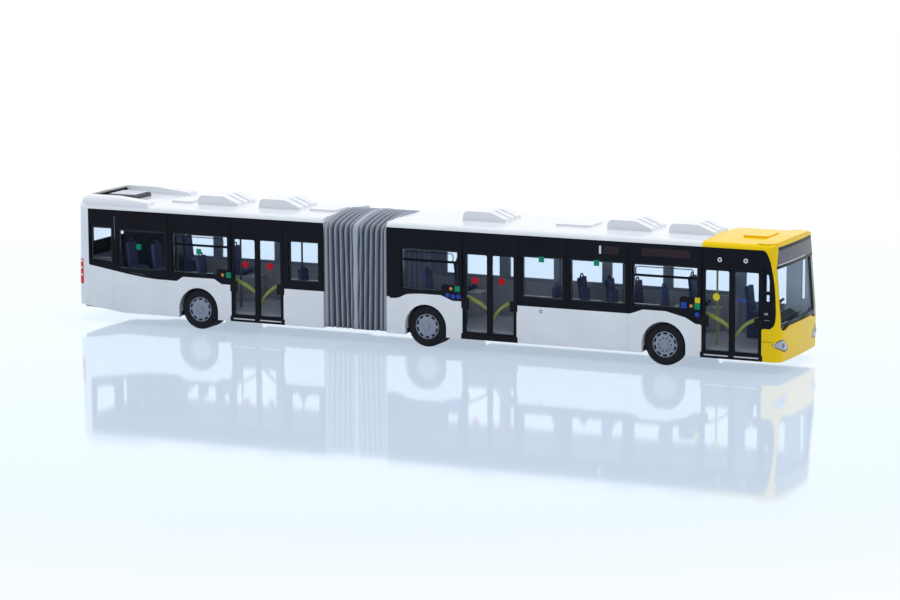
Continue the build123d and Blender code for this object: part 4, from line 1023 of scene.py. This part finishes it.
# Tail: slats of the engine grille, black foot of the rear window and pale bows of the lamps
grille_low, grille_high = box_mm("engine_grille")
slat_count, slat_inset = 9, 0.3
slats = []
for number in range(slat_count):
    z = grille_low[2] + (grille_high[2] - grille_low[2]) * (number + 0.5) / slat_count
    slats.append([(grille_low[1] + slat_inset, z), (grille_high[1] - slat_inset, z)])
soften(ribbons("engine_slats", slats, 0.2, chassis_black, REAR, "tail", proud=0.12, depth=0.3), 0.05)
pane_half, pane_foot_z = 11.1, 19.35
pane_foot = [(-pane_half, pane_foot_z), (pane_half, pane_foot_z)]
ribbons("rear_window_foot", [pane_foot], 1.7, black, REAR, "tail", proud=0.03)
bow_feet, bow_y, bow_span, bow_sag, bow_steps = (12.6, 14.6, 16.5), 12.7, 1.8, 0.45, 6
for side, label in sides:
    bows = []
    for foot in bow_feet:
        shares = [t / bow_steps for t in range(bow_steps + 1)]
        bows.append([(side * (bow_y + bow_span * t), foot - bow_sag * cos(pi * t)) for t in shares])
    ribbons(f"tail_lamp_bows_{label}", bows, 0.3, print_white, REAR, "tail", proud=0.04, step=0.2)

# Seats: a navy half ring on the top of each back
seat_width = 4.4
crest_depth, ring_sink = 0.3, 0.15
ring_half, ring_rise, ring_bar, ring_steps = 1.0, 1.15, 0.2, 10


def islands(node):
    """Points of each loose part of a solid's mesh, in millimetres."""
    shape = bmesh.new()
    shape.from_mesh(node.data)
    shape.transform(node.matrix_world)
    bmesh.ops.remove_doubles(shape, verts=shape.verts, dist=0.01 * MM)
    left, found = set(shape.verts), []
    for first in shape.verts:
        if first not in left:
            continue
        left.remove(first)
        group, queue = [], [first]
        while queue:
            vert = queue.pop()
            group.append(vert.co / MM)
            for edge in vert.link_edges:
                other = edge.other_vert(vert)
                if other in left:
                    left.remove(other)
                    queue.append(other)
        found.append(group)
    shape.free()
    return found


def seat_rings(node_name, body):
    verts, faces = [], []
    turns = [pi * t / ring_steps for t in range(ring_steps + 1)]
    for group in islands(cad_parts[node_name]):
        top = max(p.z for p in group)
        crest = [p for p in group if p.z > top - crest_depth]
        x = sum(p.x for p in crest) / len(crest)
        low, high = min(p.y for p in crest), max(p.y for p in crest)
        places = max(1, round((high - low) / seat_width))
        for number in range(places):
            y = low + (high - low) * (number + 0.5) / places
            arch = [(x, y + ring_half * cos(t), top - ring_sink + ring_rise * sin(t)) for t in turns]
            tubes(verts, faces, arch, ring_bar)
    piece(f"{node_name}_rings", verts, faces, [seat_plastic], body, smooth=True)


seat_rings("front_seats", FRONT)
seat_rings("rear_seats", REAR)

# Door bows: a little thicker than their solids
for name in ("front_grab_handles", "rear_grab_handles"):
    swell = welded(name).modifiers.new("swell", "DISPLACE")
    swell.mid_level = 0.0
    swell.strength = 0.14 * MM

# Roof: moulded edges of the units and hatches
for name in ("front_pods", "rear_pods", "front_hatch", "rear_hatches", "nose_hatch"):
    soften(welded(name), 0.18, 3)

# Studio: pale glossy floor, soft top light and a world that shows white behind the object
fade_near, fade_far, floor_half = 0.2, 0.34, 4.0


def studio_floor():
    mat, bsdf, coords = shader("studio_floor")
    clouds = noise(coords, 3.0)
    tint = ranged(clouds.outputs["Fac"], 0.0, 1.0)
    seen = seen_rays(bsdf)
    lit = mixed(tint, (0.83, 0.895, 0.975), (0.84, 0.905, 0.985))
    wire(mixed(seen, lit, (0.23, 0.2425, 0.262)), bsdf, "Base Color")
    wire(seen, bsdf, "Emission Strength")
    glow = (0.41, 0.49, 0.59, 1)
    set_inputs(bsdf, {"Emission Color": glow, "Roughness": 0.06, "Specular IOR Level": 0.5})
    far = added(bsdf, "ShaderNodeVectorMath")
    far.operation = "LENGTH"
    wire(coords.outputs["Object"], far, 0)
    fade = added(bsdf, "ShaderNodeMapRange")
    fade.interpolation_type = "SMOOTHSTEP"
    set_inputs(fade, {"From Min": fade_near, "From Max": fade_far})
    wire(far.outputs["Value"], fade, "Value")
    plain = added(bsdf, "ShaderNodeEmission")
    faded = both(seen, fade.outputs["Result"])
    blended(faded, bsdf, plain, mat.node_tree.nodes["Material Output"])
    mesh = bpy.data.meshes.new("studio_floor")
    corners = [(x, y, 0) for x, y in rect(-floor_half, floor_half, -floor_half, floor_half)]
    mesh.from_pydata(corners, [], [[0, 1, 2, 3]])
    mesh.materials.append(mat)
    placed("studio_floor", mesh)


def studio_world(strength, tint):
    world = bpy.data.worlds.new("studio")
    bpy.context.scene.world = world
    world.use_nodes = True
    nodes = world.node_tree.nodes
    nodes.clear()
    light = nodes.new("ShaderNodeBackground")
    set_inputs(light, {"Color": (*tint, 1), "Strength": strength})
    seen = nodes.new("ShaderNodeBackground")
    set_inputs(seen, {"Color": (1, 1, 1, 1), "Strength": 1.0})
    blended(seen_rays(light), light, seen, nodes.new("ShaderNodeOutputWorld"))


def soft_box(name, place, target, size, power):
    lamp = bpy.data.lights.new(name, "AREA")
    lamp.shape = "RECTANGLE"
    lamp.size, lamp.size_y = size
    lamp.energy = power
    obj = placed(name, lamp)
    obj.location = place
    obj.rotation_euler = (Vector(target) - Vector(place)).to_track_quat("-Z", "Y").to_euler()
    obj.visible_glossy = False


def photo_camera():
    """Camera at the photo's place: direction, distance and focal length from a fit to the photo."""
    azimuth, elevation, roll = radians(24.919), radians(9.427), radians(-0.237)
    distance, target = 909.04, Vector((4.548, 0, 10.596))
    focal_px, image_px, sensor = 3371.2, 900, 36.0
    back = Vector((sin(azimuth) * cos(elevation), -cos(azimuth) * cos(elevation), sin(elevation)))
    level = Vector((cos(azimuth), sin(azimuth), 0))
    rise = back.cross(level)
    right = level * cos(roll) + rise * sin(roll)
    up = rise * cos(roll) - level * sin(roll)
    data = bpy.data.cameras.new("photo_camera")
    data.sensor_width = sensor
    data.lens = focal_px * sensor / image_px
    data.clip_start, data.clip_end = 0.01, 20
    camera = placed("photo_camera", data)
    matrix = Matrix((right, up, back)).transposed().to_4x4()
    matrix.translation = (target + back * distance) * MM
    camera.matrix_world = matrix
    bpy.context.scene.camera = camera


studio_floor()
studio_world(strength=0.63, tint=(0.81, 0.895, 1.0))
soft_box("top_light", place=(0.1, 0.15, 1.2), target=(0, 0, 0), size=(1.4, 1.2), power=10.2)
photo_camera()
bpy.context.scene.view_settings.view_transform = "Standard"
